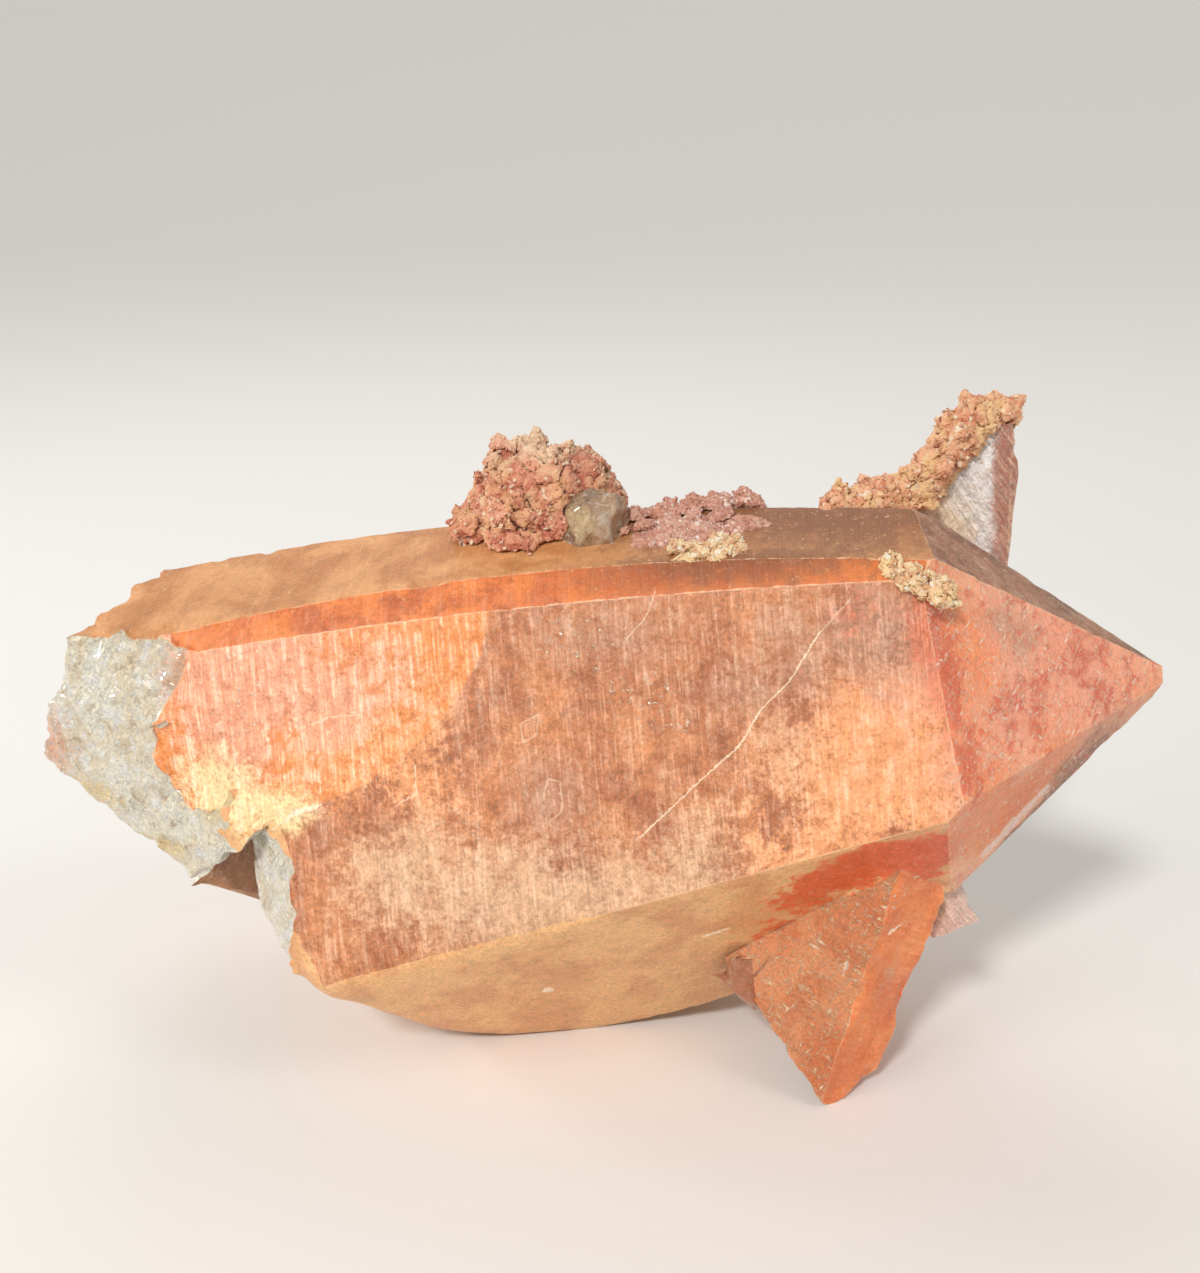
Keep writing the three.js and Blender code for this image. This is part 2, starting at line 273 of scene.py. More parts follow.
class Graph:
    """Builds the nodes of one material."""

    def __init__(self, name: str) -> None:
        """Starts a material with one Principled shader.

        Args:
            name: The material's name.
        """
        self.material = bpy.data.materials.new(name)
        self.material.use_nodes = True
        self.tree = self.material.node_tree
        self.shader = self.tree.nodes["Principled BSDF"]
        coords = self.tree.nodes.new("ShaderNodeTexCoord")
        scale = self.tree.nodes.new("ShaderNodeVectorMath")
        scale.operation = "SCALE"
        scale.inputs["Scale"].default_value = 1 / MM
        self.tree.links.new(coords.outputs["Object"], scale.inputs[0])
        self.place = scale.outputs[0]

    def put(self, socket: bpy.types.NodeSocket, value: object) -> None:
        """Links a socket to another socket, or sets its value.

        Args:
            socket: The input to fill.
            value: A socket, a colour or a plain value.
        """
        if isinstance(value, bpy.types.NodeSocket):
            self.tree.links.new(value, socket)
        elif isinstance(value, tuple) and socket.type == "RGBA":
            socket.default_value = (*value, 1.0)
        else:
            socket.default_value = value

    def math(self, operation: str, a: object, b: object = 0.0, c: object = 0.0) -> bpy.types.NodeSocket:
        """One step of arithmetic.

        Args:
            operation: What to work out.
            a: The first number or socket.
            b: The second number or socket.
            c: The third number or socket.

        Returns:
            The result.
        """
        node = self.tree.nodes.new("ShaderNodeMath")
        node.operation = operation
        for socket, value in zip(node.inputs, (a, b, c)):
            self.put(socket, value)
        return node.outputs[0]

    def total(self, first: object, *others: object) -> bpy.types.NodeSocket:
        """Several values added.

        Args:
            first: The first number or socket.
            others: The rest.

        Returns:
            Their sum.
        """
        for other in others:
            first = self.math("ADD", first, other)
        return first

    def swing(self, noise: object, size: float) -> bpy.types.NodeSocket:
        """Noise about nought, half a size to each side."""
        return self.math("MULTIPLY", self.math("SUBTRACT", noise, 0.5), size)

    def step(self, value: object, low: float, high: float, top: float = 1.0) -> bpy.types.NodeSocket:
        """A smooth step.

        Args:
            value: What is looked at.
            low: Where the step starts, at nought.
            high: Where it ends.
            top: The height at its end.

        Returns:
            The step's height.
        """
        node = self.tree.nodes.new("ShaderNodeMapRange")
        node.interpolation_type = "SMOOTHSTEP"
        for name, part in (("Value", value), ("From Min", low), ("From Max", high), ("To Max", top)):
            self.put(node.inputs[name], part)
        return node.outputs[0]

    def mix(self, share: object, a: object, b: object, way: str = "MIX") -> bpy.types.NodeSocket:
        """Two colours mixed.

        Args:
            share: How much of the second colour.
            a: The first colour.
            b: The second colour.
            way: How they mix.

        Returns:
            The mixed colour.
        """
        node = self.tree.nodes.new("ShaderNodeMix")
        node.data_type = "RGBA"
        node.blend_type = way
        for index, value in ((0, share), (6, a), (7, b)):
            self.put(node.inputs[index], value)
        return node.outputs[2]

    def noise(
        self, place: object, scale: float, detail: float = 2.0, rough: float = 0.5, bend: float = 0.0
    ) -> bpy.types.NodeSocket:
        """Noise from 0 to 1.

        Args:
            place: Coordinates in millimetres.
            scale: Bumps to a millimetre.
            detail: How many finer levels lie on the first.
            rough: How strong the finer levels are.
            bend: How much the pattern is bent.

        Returns:
            The noise.
        """
        node = self.tree.nodes.new("ShaderNodeTexNoise")
        for name, value in (("Vector", place), ("Scale", scale), ("Detail", detail)):
            self.put(node.inputs[name], value)
        for name, value in (("Roughness", rough), ("Distortion", bend)):
            self.put(node.inputs[name], value)
        return node.outputs[0]

    def grey(self, value: object) -> bpy.types.NodeSocket:
        """A grey colour from a number.

        Args:
            value: How light it is.

        Returns:
            The grey.
        """
        node = self.tree.nodes.new("ShaderNodeCombineColor")
        for socket in node.inputs:
            self.put(socket, value)
        return node.outputs[0]

    def known(self, name: str) -> bpy.types.NodeSocket:
        """A value that the mesh carries.

        Args:
            name: The attribute's name.

        Returns:
            Its value.
        """
        node = self.tree.nodes.new("ShaderNodeAttribute")
        node.attribute_name = name
        return node.outputs["Fac"]

    def height(self) -> bpy.types.NodeSocket:
        """The height of each place.

        Returns:
            The height in millimetres.
        """
        parts = self.tree.nodes.new("ShaderNodeSeparateXYZ")
        self.put(parts.inputs[0], self.place)
        return parts.outputs["Z"]

    def lined(self, direction: Triple, fine: float, long: float) -> bpy.types.NodeSocket:
        """Coordinates for streaks that lie across a direction.

        Args:
            direction: The direction that the streaks repeat along.
            fine: Coordinate per millimetre along it.
            long: Coordinate per millimetre across it.

        Returns:
            The stretched coordinates.
        """
        axis = Vector(direction).normalized()
        side = axis.orthogonal().normalized()
        third = axis.cross(side)
        whole = self.tree.nodes.new("ShaderNodeCombineXYZ")
        for socket, (way, rate) in zip(whole.inputs, ((axis, fine), (side, long), (third, long))):
            dot = self.tree.nodes.new("ShaderNodeVectorMath")
            dot.operation = "DOT_PRODUCT"
            self.put(dot.inputs[0], self.place)
            self.put(dot.inputs[1], tuple(way * rate))
            self.put(socket, dot.outputs["Value"])
        return whole.outputs[0]

    def bump(self, height: object, depth: float, strength: float = 1.0) -> None:
        """Gives the shader fine relief.

        Args:
            height: The relief.
            depth: Its depth in millimetres.
            strength: How strong it is.
        """
        node = self.tree.nodes.new("ShaderNodeBump")
        self.put(node.inputs["Height"], height)
        node.inputs["Distance"].default_value = depth * MM
        node.inputs["Strength"].default_value = strength
        self.put(self.shader.inputs["Normal"], node.outputs[0])

    def set(self, **values: object) -> None:
        """Sets the shader's sockets, with underscores for the spaces in their names."""
        for name, value in values.items():
            self.put(self.shader.inputs[name.replace("_", " ")], value)


CRACK = tint(255, 232, 200)
GLINT = tint(255, 244, 226)
# The directions of the short strokes, which are partly painted glints
STROKE_AND_GLINT_WAYS = ((0.5, 0.3, 0.8), (-0.8, 0.2, 0.5))


@dataclass(frozen=True)
class Tones:
    """The noises that one quartz finish is mixed from."""

    mottle: bpy.types.NodeSocket
    blots: bpy.types.NodeSocket
    grain: bpy.types.NodeSocket
    lines: bpy.types.NodeSocket
    broad: bpy.types.NodeSocket
    flake: bpy.types.NodeSocket | None

    @classmethod
    def of(cls, g: Graph, lines_along: Triple, flaky: bool) -> Tones:
        """Builds the noises.

        Args:
            g: The material's graph.
            lines_along: The direction that the growth lines repeat along.
            flaky: Whether the finish has flakes.

        Returns:
            The noises.
        """
        return cls(
            mottle=g.noise(g.place, scale=0.11, detail=5, rough=0.62, bend=0.4),
            blots=g.noise(g.place, scale=0.5, detail=5, rough=0.68, bend=0.3),
            grain=g.noise(g.place, scale=1.9, detail=4, rough=0.7),
            lines=g.noise(g.lined(lines_along, 2.3, 0.13), scale=1.0, detail=5, rough=0.68, bend=0.3),
            broad=g.noise(g.lined(lines_along, 0.75, 0.06), scale=1.0, detail=5, rough=0.66, bend=0.4),
            flake=g.noise(g.place, scale=0.34, detail=8, rough=0.7, bend=0.2) if flaky else None,
        )


@dataclass(frozen=True)
class StainColour:
    """How one stain looks on a surface."""

    name: str
    colour: Colour
    low: float = 0.0
    high: float = 0.5
    strength: float = 0.9
    wobble: float = 1.0


@dataclass(frozen=True)
class QuartzFinish:
    """A finish of the quartz: iron-stained faces with growth lines, flecks and painted glints, and a painted
    highlight along the edges.
    """

    name: str
    light: Colour
    dark: Colour
    streak: Colour = tint(255, 232, 204)
    rust: float = 0.3
    rust_colour: Colour = tint(176, 100, 60)
    streaks: float = 0.0
    lines_along: Triple = ALONG
    # Short strokes, white flecks and their colour: real scratches and flecks on most faces, painted glints on
    # the breaks and the foot
    strokes_and_glints: float = 0.0
    flecks_and_glints: float = 0.0
    frost: Colour = tint(254, 236, 208)
    speckle: float = 0.4
    rough: float = 0.42
    depth: float = 0.08
    lines_depth: float = 0.5
    glow: float = 0.15
    clear: float = 0.0
    # The strength and colour of the painted highlight along the creases
    edge: float = 0.4
    edge_highlight_colour: Colour = tint(255, 220, 180)
    coat: float = 0.0
    flaky: float = 0.0
    # The dark flakes, and the light flakes, which are partly painted glints
    flake_dark: Colour = tint(190, 164, 134)
    pale_flake_and_glint: Colour = tint(255, 251, 242)
    stains: tuple[StainColour, ...] = ()

    def material(self) -> bpy.types.Material:
        """Builds the finish.

        Returns:
            The finished material.
        """
        g = Graph(self.name)
        tones = Tones.of(g, self.lines_along, bool(self.flaky))
        colour = self.streaked(g, self.stained(g, self.ground(g, tones), tones), tones)
        colour = g.mix(1.0, colour, g.grey(self.shade(g, tones)), "MULTIPLY")
        # Flecks and strokes, which on the breaks and the foot are painted glints
        fleck_and_glint = self.fleck_and_glint_share(g, tones)
        colour = g.mix(fleck_and_glint, colour, self.frost)
        # Painted highlight: a pale line along the creases, where light would catch the edges.
        edge_highlight = g.total(g.known("edge"), g.swing(tones.grain, 0.5), g.swing(tones.blots, 0.8))
        colour = g.mix(g.step(edge_highlight, 0.16, -0.05, self.edge), colour, self.edge_highlight_colour)
        colour = g.mix(self.cracked(g, tones.grain), colour, CRACK)
        g.bump(self.relief(g, tones, fleck_and_glint), self.depth * 4)
        g.set(Base_Color=colour, Roughness=g.total(self.rough, g.swing(tones.mottle, 0.35)), IOR=QUARTZ_IOR)
        g.set(Subsurface_Weight=self.glow, Subsurface_Radius=GLOW_REACH, Subsurface_Scale=GLOW_DEPTH)
        g.set(Coat_Weight=self.coat, Coat_Roughness=0.04, Transmission_Weight=self.clear)
        return g.material

    def ground(self, g: Graph, tones: Tones) -> bpy.types.NodeSocket:
        """The colour under the stains, with light and dark flakes where it is broken; the light flakes are
        partly painted glints.

        Args:
            g: The material's graph.
            tones: Its noises.

        Returns:
            The colour under the stains.
        """
        colour = g.mix(g.step(tones.mottle, 0.38, 0.62), self.dark, self.light)
        if self.flaky:
            # Light flakes: partly the pale glassy break, partly painted glints.
            colour = g.mix(g.step(tones.flake, 0.5, 0.62, self.flaky), colour, self.pale_flake_and_glint)
            colour = g.mix(g.step(tones.flake, 0.47, 0.32, self.flaky), colour, self.flake_dark)
        return colour

    def stained(self, g: Graph, colour: object, tones: Tones) -> bpy.types.NodeSocket:
        """Lays the stains and the rust over a colour.

        Args:
            g: The material's graph.
            colour: The colour under the stains.
            tones: The noises that bend a stain's rim and break it up.

        Returns:
            The stained colour.
        """
        for stain in self.stains:
            wobble = (
                g.swing(tones.mottle, 1.6 * stain.wobble),
                g.swing(tones.blots, 1.5 * stain.wobble),
                g.swing(tones.grain, 0.7 * stain.wobble),
            )
            value = g.total(g.known(stain.name), *wobble)
            colour = g.mix(g.step(value, stain.low, stain.high, stain.strength), colour, stain.colour)
        calm = g.math("MULTIPLY", g.step(g.known("amber"), 0.9, -0.2), g.step(g.known("pale"), 1.3, -0.3))
        rust = g.math("MULTIPLY", g.step(tones.blots, 0.5, 0.66, self.rust), calm)
        return g.mix(rust, colour, self.rust_colour)

    def streaked(self, g: Graph, colour: object, tones: Tones) -> bpy.types.NodeSocket:
        """Draws pale streaks along the growth lines, strongest in the bright part.

        Args:
            g: The material's graph.
            colour: The colour under them.
            tones: Its noises.

        Returns:
            The streaked colour.
        """
        if not self.streaks:
            return colour
        bright = g.math("MULTIPLY", g.step(g.known("bright"), -1.5, 2.0, 0.7), self.streaks)
        share = g.math("MULTIPLY", g.total(bright, 0.5 * self.streaks), g.step(tones.blots, 0.34, 0.58))
        for lines, low, high in ((tones.lines, 0.48, 0.66), (tones.broad, 0.44, 0.72)):
            colour = g.mix(g.math("MULTIPLY", g.step(lines, low, high), share), colour, self.streak)
        return colour

    def shade(self, g: Graph, tones: Tones) -> bpy.types.NodeSocket:
        """How much lighter or darker each place is.

        Args:
            g: The material's graph.
            tones: Its noises.

        Returns:
            One on the whole, more or less by the noises.
        """
        shade = g.total(1.0, g.swing(tones.grain, 2 * self.speckle), g.swing(tones.blots, 1.3 * self.speckle))
        return g.total(shade, g.swing(tones.lines, 2.2 * self.streaks)) if self.streaks else shade

    def fleck_and_glint_share(self, g: Graph, tones: Tones) -> bpy.types.NodeSocket:
        """The share of white flecks and short pale strokes, which on the breaks and the foot are painted
        glints.

        Args:
            g: The material's graph.
            tones: Its noises.

        Returns:
            One on a fleck or a painted glint, and nought off them.
        """
        fleck_and_glint = g.step(g.noise(g.place, scale=1.1, detail=4, rough=0.75), 0.58, 0.67)
        frost = g.step(g.total(g.known("frost"), g.swing(tones.mottle, 1.0)), 0.0, 0.6)
        fleck_and_glint = g.math("MULTIPLY", fleck_and_glint, g.math("MAXIMUM", frost, self.flecks_and_glints))
        # The strokes are partly scratches and partly painted glints.
        for direction in STROKE_AND_GLINT_WAYS if self.strokes_and_glints else ():
            thin = g.noise(g.lined(direction, 2.5, 0.5), scale=1.0, detail=4, rough=0.72, bend=0.8)
            thin = g.math("MULTIPLY", g.step(thin, 0.54, 0.64, self.strokes_and_glints), g.step(tones.blots, 0.38, 0.56))
            fleck_and_glint = g.math("MAXIMUM", fleck_and_glint, thin)
        return fleck_and_glint

    def relief(self, g: Graph, tones: Tones, fleck_and_glint: bpy.types.NodeSocket) -> bpy.types.NodeSocket:
        """The fine relief: growth lines, grain, the flecks and painted glints, and flakes.

        Args:
            g: The material's graph.
            tones: Its noises.
            fleck_and_glint: The share of flecks and painted glints.

        Returns:
            The height.
        """
        lines = g.math("MULTIPLY", tones.lines, self.lines_depth)
        grain = g.math("MULTIPLY", tones.grain, 1 - self.lines_depth)
        height = g.total(lines, grain, g.math("MULTIPLY", fleck_and_glint, 0.35))
        return g.total(height, g.math("MULTIPLY", tones.flake, 1.6 * self.flaky)) if self.flaky else height

    @staticmethod
    def cracked(g: Graph, grain: bpy.types.NodeSocket) -> bpy.types.NodeSocket:
        """The share of the pale line of a healed crack.

        Args:
            g: The material's graph.
            grain: Fine noise that makes the line uneven.

        Returns:
            One on the line and nought off it.
        """
        off = g.total(g.known("crack"), g.swing(grain, 0.9))
        line = g.step(g.math("ABSOLUTE", off), 0.15, 0.02, 0.8)
        return g.math("MULTIPLY", line, g.known("crack_run"))


@dataclass(frozen=True)
class CrustFinish:
    """A granular crust: grains of several tints, painted shade in the crevices between them, with small
    painted glints.
    """

    name: str
    grains: tuple[Colour, Colour, Colour]
    # The colour of the painted shade in the crevices
    crevice_shade: Colour
    patch: Colour
    rough: float = 0.5
    glints: float = 0.6
    pale_above: float = 200.0

    def material(self) -> bpy.types.Material:
        """Builds the finish.

        Returns:
            The finished material.
        """
        g = Graph(self.name)
        chance = g.known("grain")
        mottle = g.noise(g.place, scale=0.22, detail=4, rough=0.6)
        fine = g.noise(g.place, scale=1.9, detail=5, rough=0.7)
        colour = g.mix(g.step(chance, 0.15, 0.6), self.grains[0], self.grains[1])
        colour = g.mix(g.step(chance, 0.72, 0.9), colour, self.grains[2])
        colour = g.mix(g.step(mottle, 0.48, 0.6, 0.7), colour, self.patch)
        height = g.total(g.height(), g.math("MULTIPLY", mottle, 16.0))
        pale = g.step(height, self.pale_above + 4, self.pale_above + 12, 0.75)
        colour = g.mix(pale, colour, self.grains[2])
        colour = g.mix(g.step(fine, 0.46, 0.3, 0.6), colour, self.grains[0])
        # Painted shade: the crevices between the lumps are darkened, where shade would fall.
        crevice = g.step(g.total(g.known("crevice"), g.swing(fine, 1.0)), 0.34, 0.0)
        colour = g.mix(crevice, colour, self.crevice_shade)
        glint = g.step(g.noise(g.place, scale=1.3, detail=5, rough=0.8), 0.62, 0.67, self.glints)
        colour = g.mix(glint, colour, GLINT)
        g.bump(fine, 0.5)
        g.set(Base_Color=colour, Roughness=g.math("MULTIPLY_ADD", glint, -0.3, self.rough), IOR=CRUST_IOR)
        g.set(Subsurface_Weight=0.1, Subsurface_Radius=(1.0, 0.5, 0.3), Subsurface_Scale=1.0 * MM)
        return g.material


PLANES = (
    FacePlane(Zone.FOOT_FROSTED, (-0.5532, -0.8269, 0.1005), 9.0, 8.0, 2.5),
    FacePlane(Zone.FOOT_SMOOTH, (0.5724, -0.7998, -0.1808), 46.0, 12.0, 2.5),
    FacePlane(Zone.FRONT, (-0.1612, -0.9651, 0.2064), 43.263),
    FacePlane(Zone.BEVEL, (-0.1842, -0.7246, 0.6641), 72.9, 3.0, 9.0),
    FacePlane(Zone.TOP, (-0.1578, -0.2899, 0.944), 84.0, 9.0, 16.0),
    FacePlane(Zone.TIP, (0.4755, -0.8257, 0.3034), 76.2),
    FacePlane(Zone.TIP_TOP, (0.5219, -0.2363, 0.8196), 103.85),
    FacePlane(Zone.TIP, (0.5925, -0.6637, -0.4566), 34.8),
    FacePlane(Zone.UNDER, (0.1521, -0.7458, -0.6486), 8.0, 60.0, 2.5),
)

TOP_NORMAL = np.array((-0.1578, -0.2899, 0.944))
KNOB_CRYSTAL = Ball(Zone.SMOKY, (1.0, -14.5, 91.0), (8.5, 8.0, 8.0))

PLACES = (
    Ball(Zone.FRONT, (-57.0, -22.5, 53.5), (7.5, 5.0, 8.5)),
    Ball(Zone.FOOT_SMOOTH, (-2.0, 31.0, 12.0), (14.0, 9.0, 12.0)),
    Ball(Zone.BLADE, (60.0, 4.5, 88.0), (24.0, 8.0, 24.0)),
    Ball(Zone.BLADE, (56.5, -21.5, 29.0), (6.0, 7.0, 9.0)),
    Ball(Zone.SMOKY, (26.0, -21.0, 17.0), (7.5, 5.5, 9.0)),
    Ball(Zone.BROKEN, (-78.0, -10.0, 52.0), (30.0, 30.0, 32.0)),
    Ball(Zone.BROKEN, (-47.5, -16.0, 30.0), (8.0, 18.0, 16.0)),
)

FOOT_TOP = ((22.0, -28.0, 27.0), (34.0, -32.5, 34.5), (46.0, -35.2, 41.0), (52.0, -33.5, 38.5))

# The middles of the shell-like ripples on the breaks
SHELLS = ((-60, -20, 66), (-84, -6, 52), (-64, -16, 40), (-48, -24, 38), (-72, -14, 60))

# Turns the blade's streaks into its own direction
BLADE_TURN = ((0.8, 0, 0.6), (0, 1, 0), (-0.6, 0, 0.8))

# The rim of the bright orange zone, in X and Z on the front face
GLOW_EDGE = (
    (-50.2, 41.4), (-38.7, 48.0), (-32.0, 51.2), (-26.6, 55.2), (-22.0, 59.6),
    (-18.4, 64.2), (-14.4, 71.0), (-13.7, 77.1),
)

STAINS: dict[str, tuple[Stain | Trail, ...]] = {
    "pink": (
        Stain((-50, -22, 66), (14, 12, 12)),
        Stain((-53, -23, 56), (8, 8, 7), 1.0),
        Stain((-38, -25, 64), (12, 12, 9), 0.7),
        Stain((66, -29, 70), (26, 22, 20)),
        Stain((56, -34, 60), (10, 14, 12)),
        Stain((-86, -6, 50), (9, 9, 7), 0.8),
        Stain((57, -21.5, 28), (8, 8, 10), 1.0),
    ),
    # Brown: real brown stains, and painted shade where the quartz lies in shadow
    "brown_and_shade": (
        # Painted shade: the flank under the break, which lies in shadow
        Stain((-60, 4, 26), (18, 16, 13), 1.6),
        Stain((40, -17, 90), (36, 15, 12), 0.9),
        Stain((14, -28, 85), (50, 5, 5), 0.7),
        Stain((74, -19, 52), (9, 8, 14), 0.9),
        Trail(((78, -22, 55), (71, -21.5, 46.5), (64, -22, 38)), 2.4, 1.3),
        # Painted shade: a shadowed spot by the foot
        Stain((25, -22, 19), (4, 3, 5), 0.8),
        Stain((67, 4, 92), (3.4, 8, 18), 1.7),
    ),
    "grey": (
        Stain((40, -35.5, 76), (9, 6, 8)),
        Stain((22, -34, 68), (9, 6, 5), 0.6),
        Stain((31, -34, 70), (7, 6, 11), 0.6),
        Stain((5, -30, 74), (14, 6, 6), 0.5),
        Stain((-4, -33, 51), (7, 6, 7), 0.6),
        Stain((63, -30, 74), (4, 6, 3.4), 0.6),
        Stain((59, -31, 77), (3, 6, 3), 0.5),
        Stain((45, -30, 20), (2.4, 5, 5), 0.4),
    ),
    "pale": (
        Stain((-6, -36, 36), (27, 9, 10)),
        Stain((-26, -31, 38), (10, 9, 10), 0.8),
        Stain((16, -38, 42), (8, 9, 10), 0.7),
        Stain((30, -36, 60), (7, 9, 14), 0.35),
        Trail(((68.5, -24.8, 48.8), (65.2, -25.2, 44.6), (61.0, -25.6, 39.8)), 1.5, 0.9),
    ),
    "amber": (
        Stain((42, -39, 60), (15, 9, 15)),
        Stain((50, -37, 74), (5, 8, 14), 0.9),
        Stain((-30, -25, 56), (14, 9, 10), 0.6),
        Stain((34, -38, 47), (12, 9, 6), 0.6),
        Stain((56, -34, 52), (7, 7, 8), 1.0),
        Stain((66, -28, 56), (8, 6, 7), 0.9),
        Stain((62, -29, 48), (8, 6, 9), 1.4),
        Stain((26, -21, 17), (8, 6, 9), 1.2),
        Stain((54, -33, 71), (5, 6, 10), 0.7),
    ),
    "red": (
        Stain((47.5, -36, 78), (3.2, 6, 7), 1.0),
        Stain((50.5, -37, 68), (2.6, 6, 9), 0.8),
        Stain((53.5, -38, 59), (2.2, 6, 7), 0.5),
        Stain((72, -26, 70), (9, 7, 6), 0.32),
        Stain((62, -30, 62), (6, 7, 6), 0.3),
        Stain((80, -22, 64), (7, 6, 6), 0.34),
        Stain((37, -33.6, 79), (3, 5, 4), 0.5),
    ),
    "rust": (
        Stain((45, -37, 43.5), (10, 7, 4.6), 1.5),
        Stain((37, -35, 39), (6, 6, 3.4), 1.2),
        Stain((50, -36, 43), (6, 7, 7), 1.4),
        Stain((37, -31, 7), (4, 6, 7), 1.0),
        Stain((32, -32, 33), (7, 6, 4), 0.45),
        Stain((28, -29, 27), (4, 6, 5), 0.3),
        Stain((44, -33, 33), (6, 5, 5), 0.4),
        Stain((64, -28, 49), (7, 5, 7), 1.0),
    ),
    "yellow": (
        Stain((-46, -27, 46.5), (7, 6, 3.6), 1.1),
        Stain((-50.5, -26, 46), (3, 6, 5), 1.0),
        Stain((-54, -21, 49), (7, 8, 7), 1.0),
        Stain((-79, -9.5, 42.5), (9, 5, 4), 0.9),
        Stain((-66, -13, 34.5), (10, 7, 4), 0.9),
        Stain((57, 0, 84), (5, 5, 7), 0.9),
        Stain((54, -23, 31), (4, 6, 5), 0.6),
        Stain((-1, -18, 88), (2.6, 4, 3), 0.9),
        Stain((7, -14, 93), (2.0, 5, 2.6), 0.8),
    ),
    "chips": (
        Stain((-5.6, -23, 14.5), (1.1, 4, 0.9), 1.0),
        Trail(((18, -27, 26.6), (24, -29, 28.5), (32, -31, 30.5)), 0.5, 0.9),
        Trail(((45.2, -32.3, 29.5), (48.5, -31, 30.5), (52, -29, 32.4)), 0.45, 1.0),
        Trail(((-50.2, -27.6, 41.8), (-45.5, -28, 44), (-43, -28, 46.4), (-38.7, -28.6, 48)), 0.6, 1.0),
        Trail(((52.4, -33.5, 74.6), (53.6, -33, 73.4)), 0.4, 1.0),
        Trail(((54.5, -33.4, 70.2), (55.2, -33.6, 67.6)), 0.4, 1.0),
        Trail(((56.6, -35, 61.2), (59.4, -33.5, 60.4)), 0.4, 1.0),
        Trail(((41, -34, 34), (40, -32.5, 28), (39, -31.5, 22)), 0.5, 0.6),
        Trail(((70.5, -27, 61.5), (72.5, -26.6, 61)), 0.6, 0.9),
    ),
    "frost": (
        Stain((-0.5, -29, 73), (7, 6, 5), 0.9),
        Stain((9.5, -32, 65), (7, 6, 5), 1.0),
        Stain((-18, -31, 46.4), (3.2, 5, 2.2), 0.9),
        Stain((-50, -24, 62), (12, 8, 12), 0.4),
        Stain((57, -36, 62), (4, 6, 7), 0.7),
        Stain((40, -33, 29), (7, 7, 9), 0.7),
        Stain((52, -37, 57), (3, 6, 3), 0.6),
        Stain((16, -9, 92), (20, 9, 5), 0.9),
        Stain((44, -14, 93), (20, 14, 6), 0.5),
        Stain((82.5, -19, 66), (4, 5, 3), 0.9),
        Trail(((-50.2, -27.6, 41.8), (-45.5, -28, 44), (-43, -28, 46.4), (-38.7, -28.6, 48)), 0.9, 1.2),
        Stain((47, -34, 37), (4, 5, 5), 0.8),
    ),
}

LINES = (
    Line(((33.1, 76.1), (29.1, 69.4), (25.0, 65.0), (22.2, 60.0), (15.3, 53.4), (8.2, 46.2))),
    Line(((37.1, 80.6), (33.1, 76.1)), 0.5),
    Line(((10.3, 80.6), (9.0, 77.0), (6.1, 73.8)), 0.55),
    Line(((-8.8, 61.4), (-6.2, 62.8), (-6.6, 59.8), (-8.6, 58.6), (-8.8, 61.4)), 0.45),
    Line(((-5.6, 51.0), (-5.0, 53.8), (-3.2, 53.4), (-2.8, 49.6), (-4.2, 48.0)), 0.5),
    Line(((-24.4, 54.4), (-24.2, 50.4), (-27.0, 48.8)), 0.8),
    Line(((-42.0, 58.6), (-37.0, 60.8), (-32.4, 61.4)), 0.6),
    Line(((-50.0, 42.0), (-46.0, 43.6), (-43.0, 46.4), (-38.7, 48.0)), 1.0),
    Line(((-33.0, 70.0), (-33.2, 62.0)), 0.4),
)


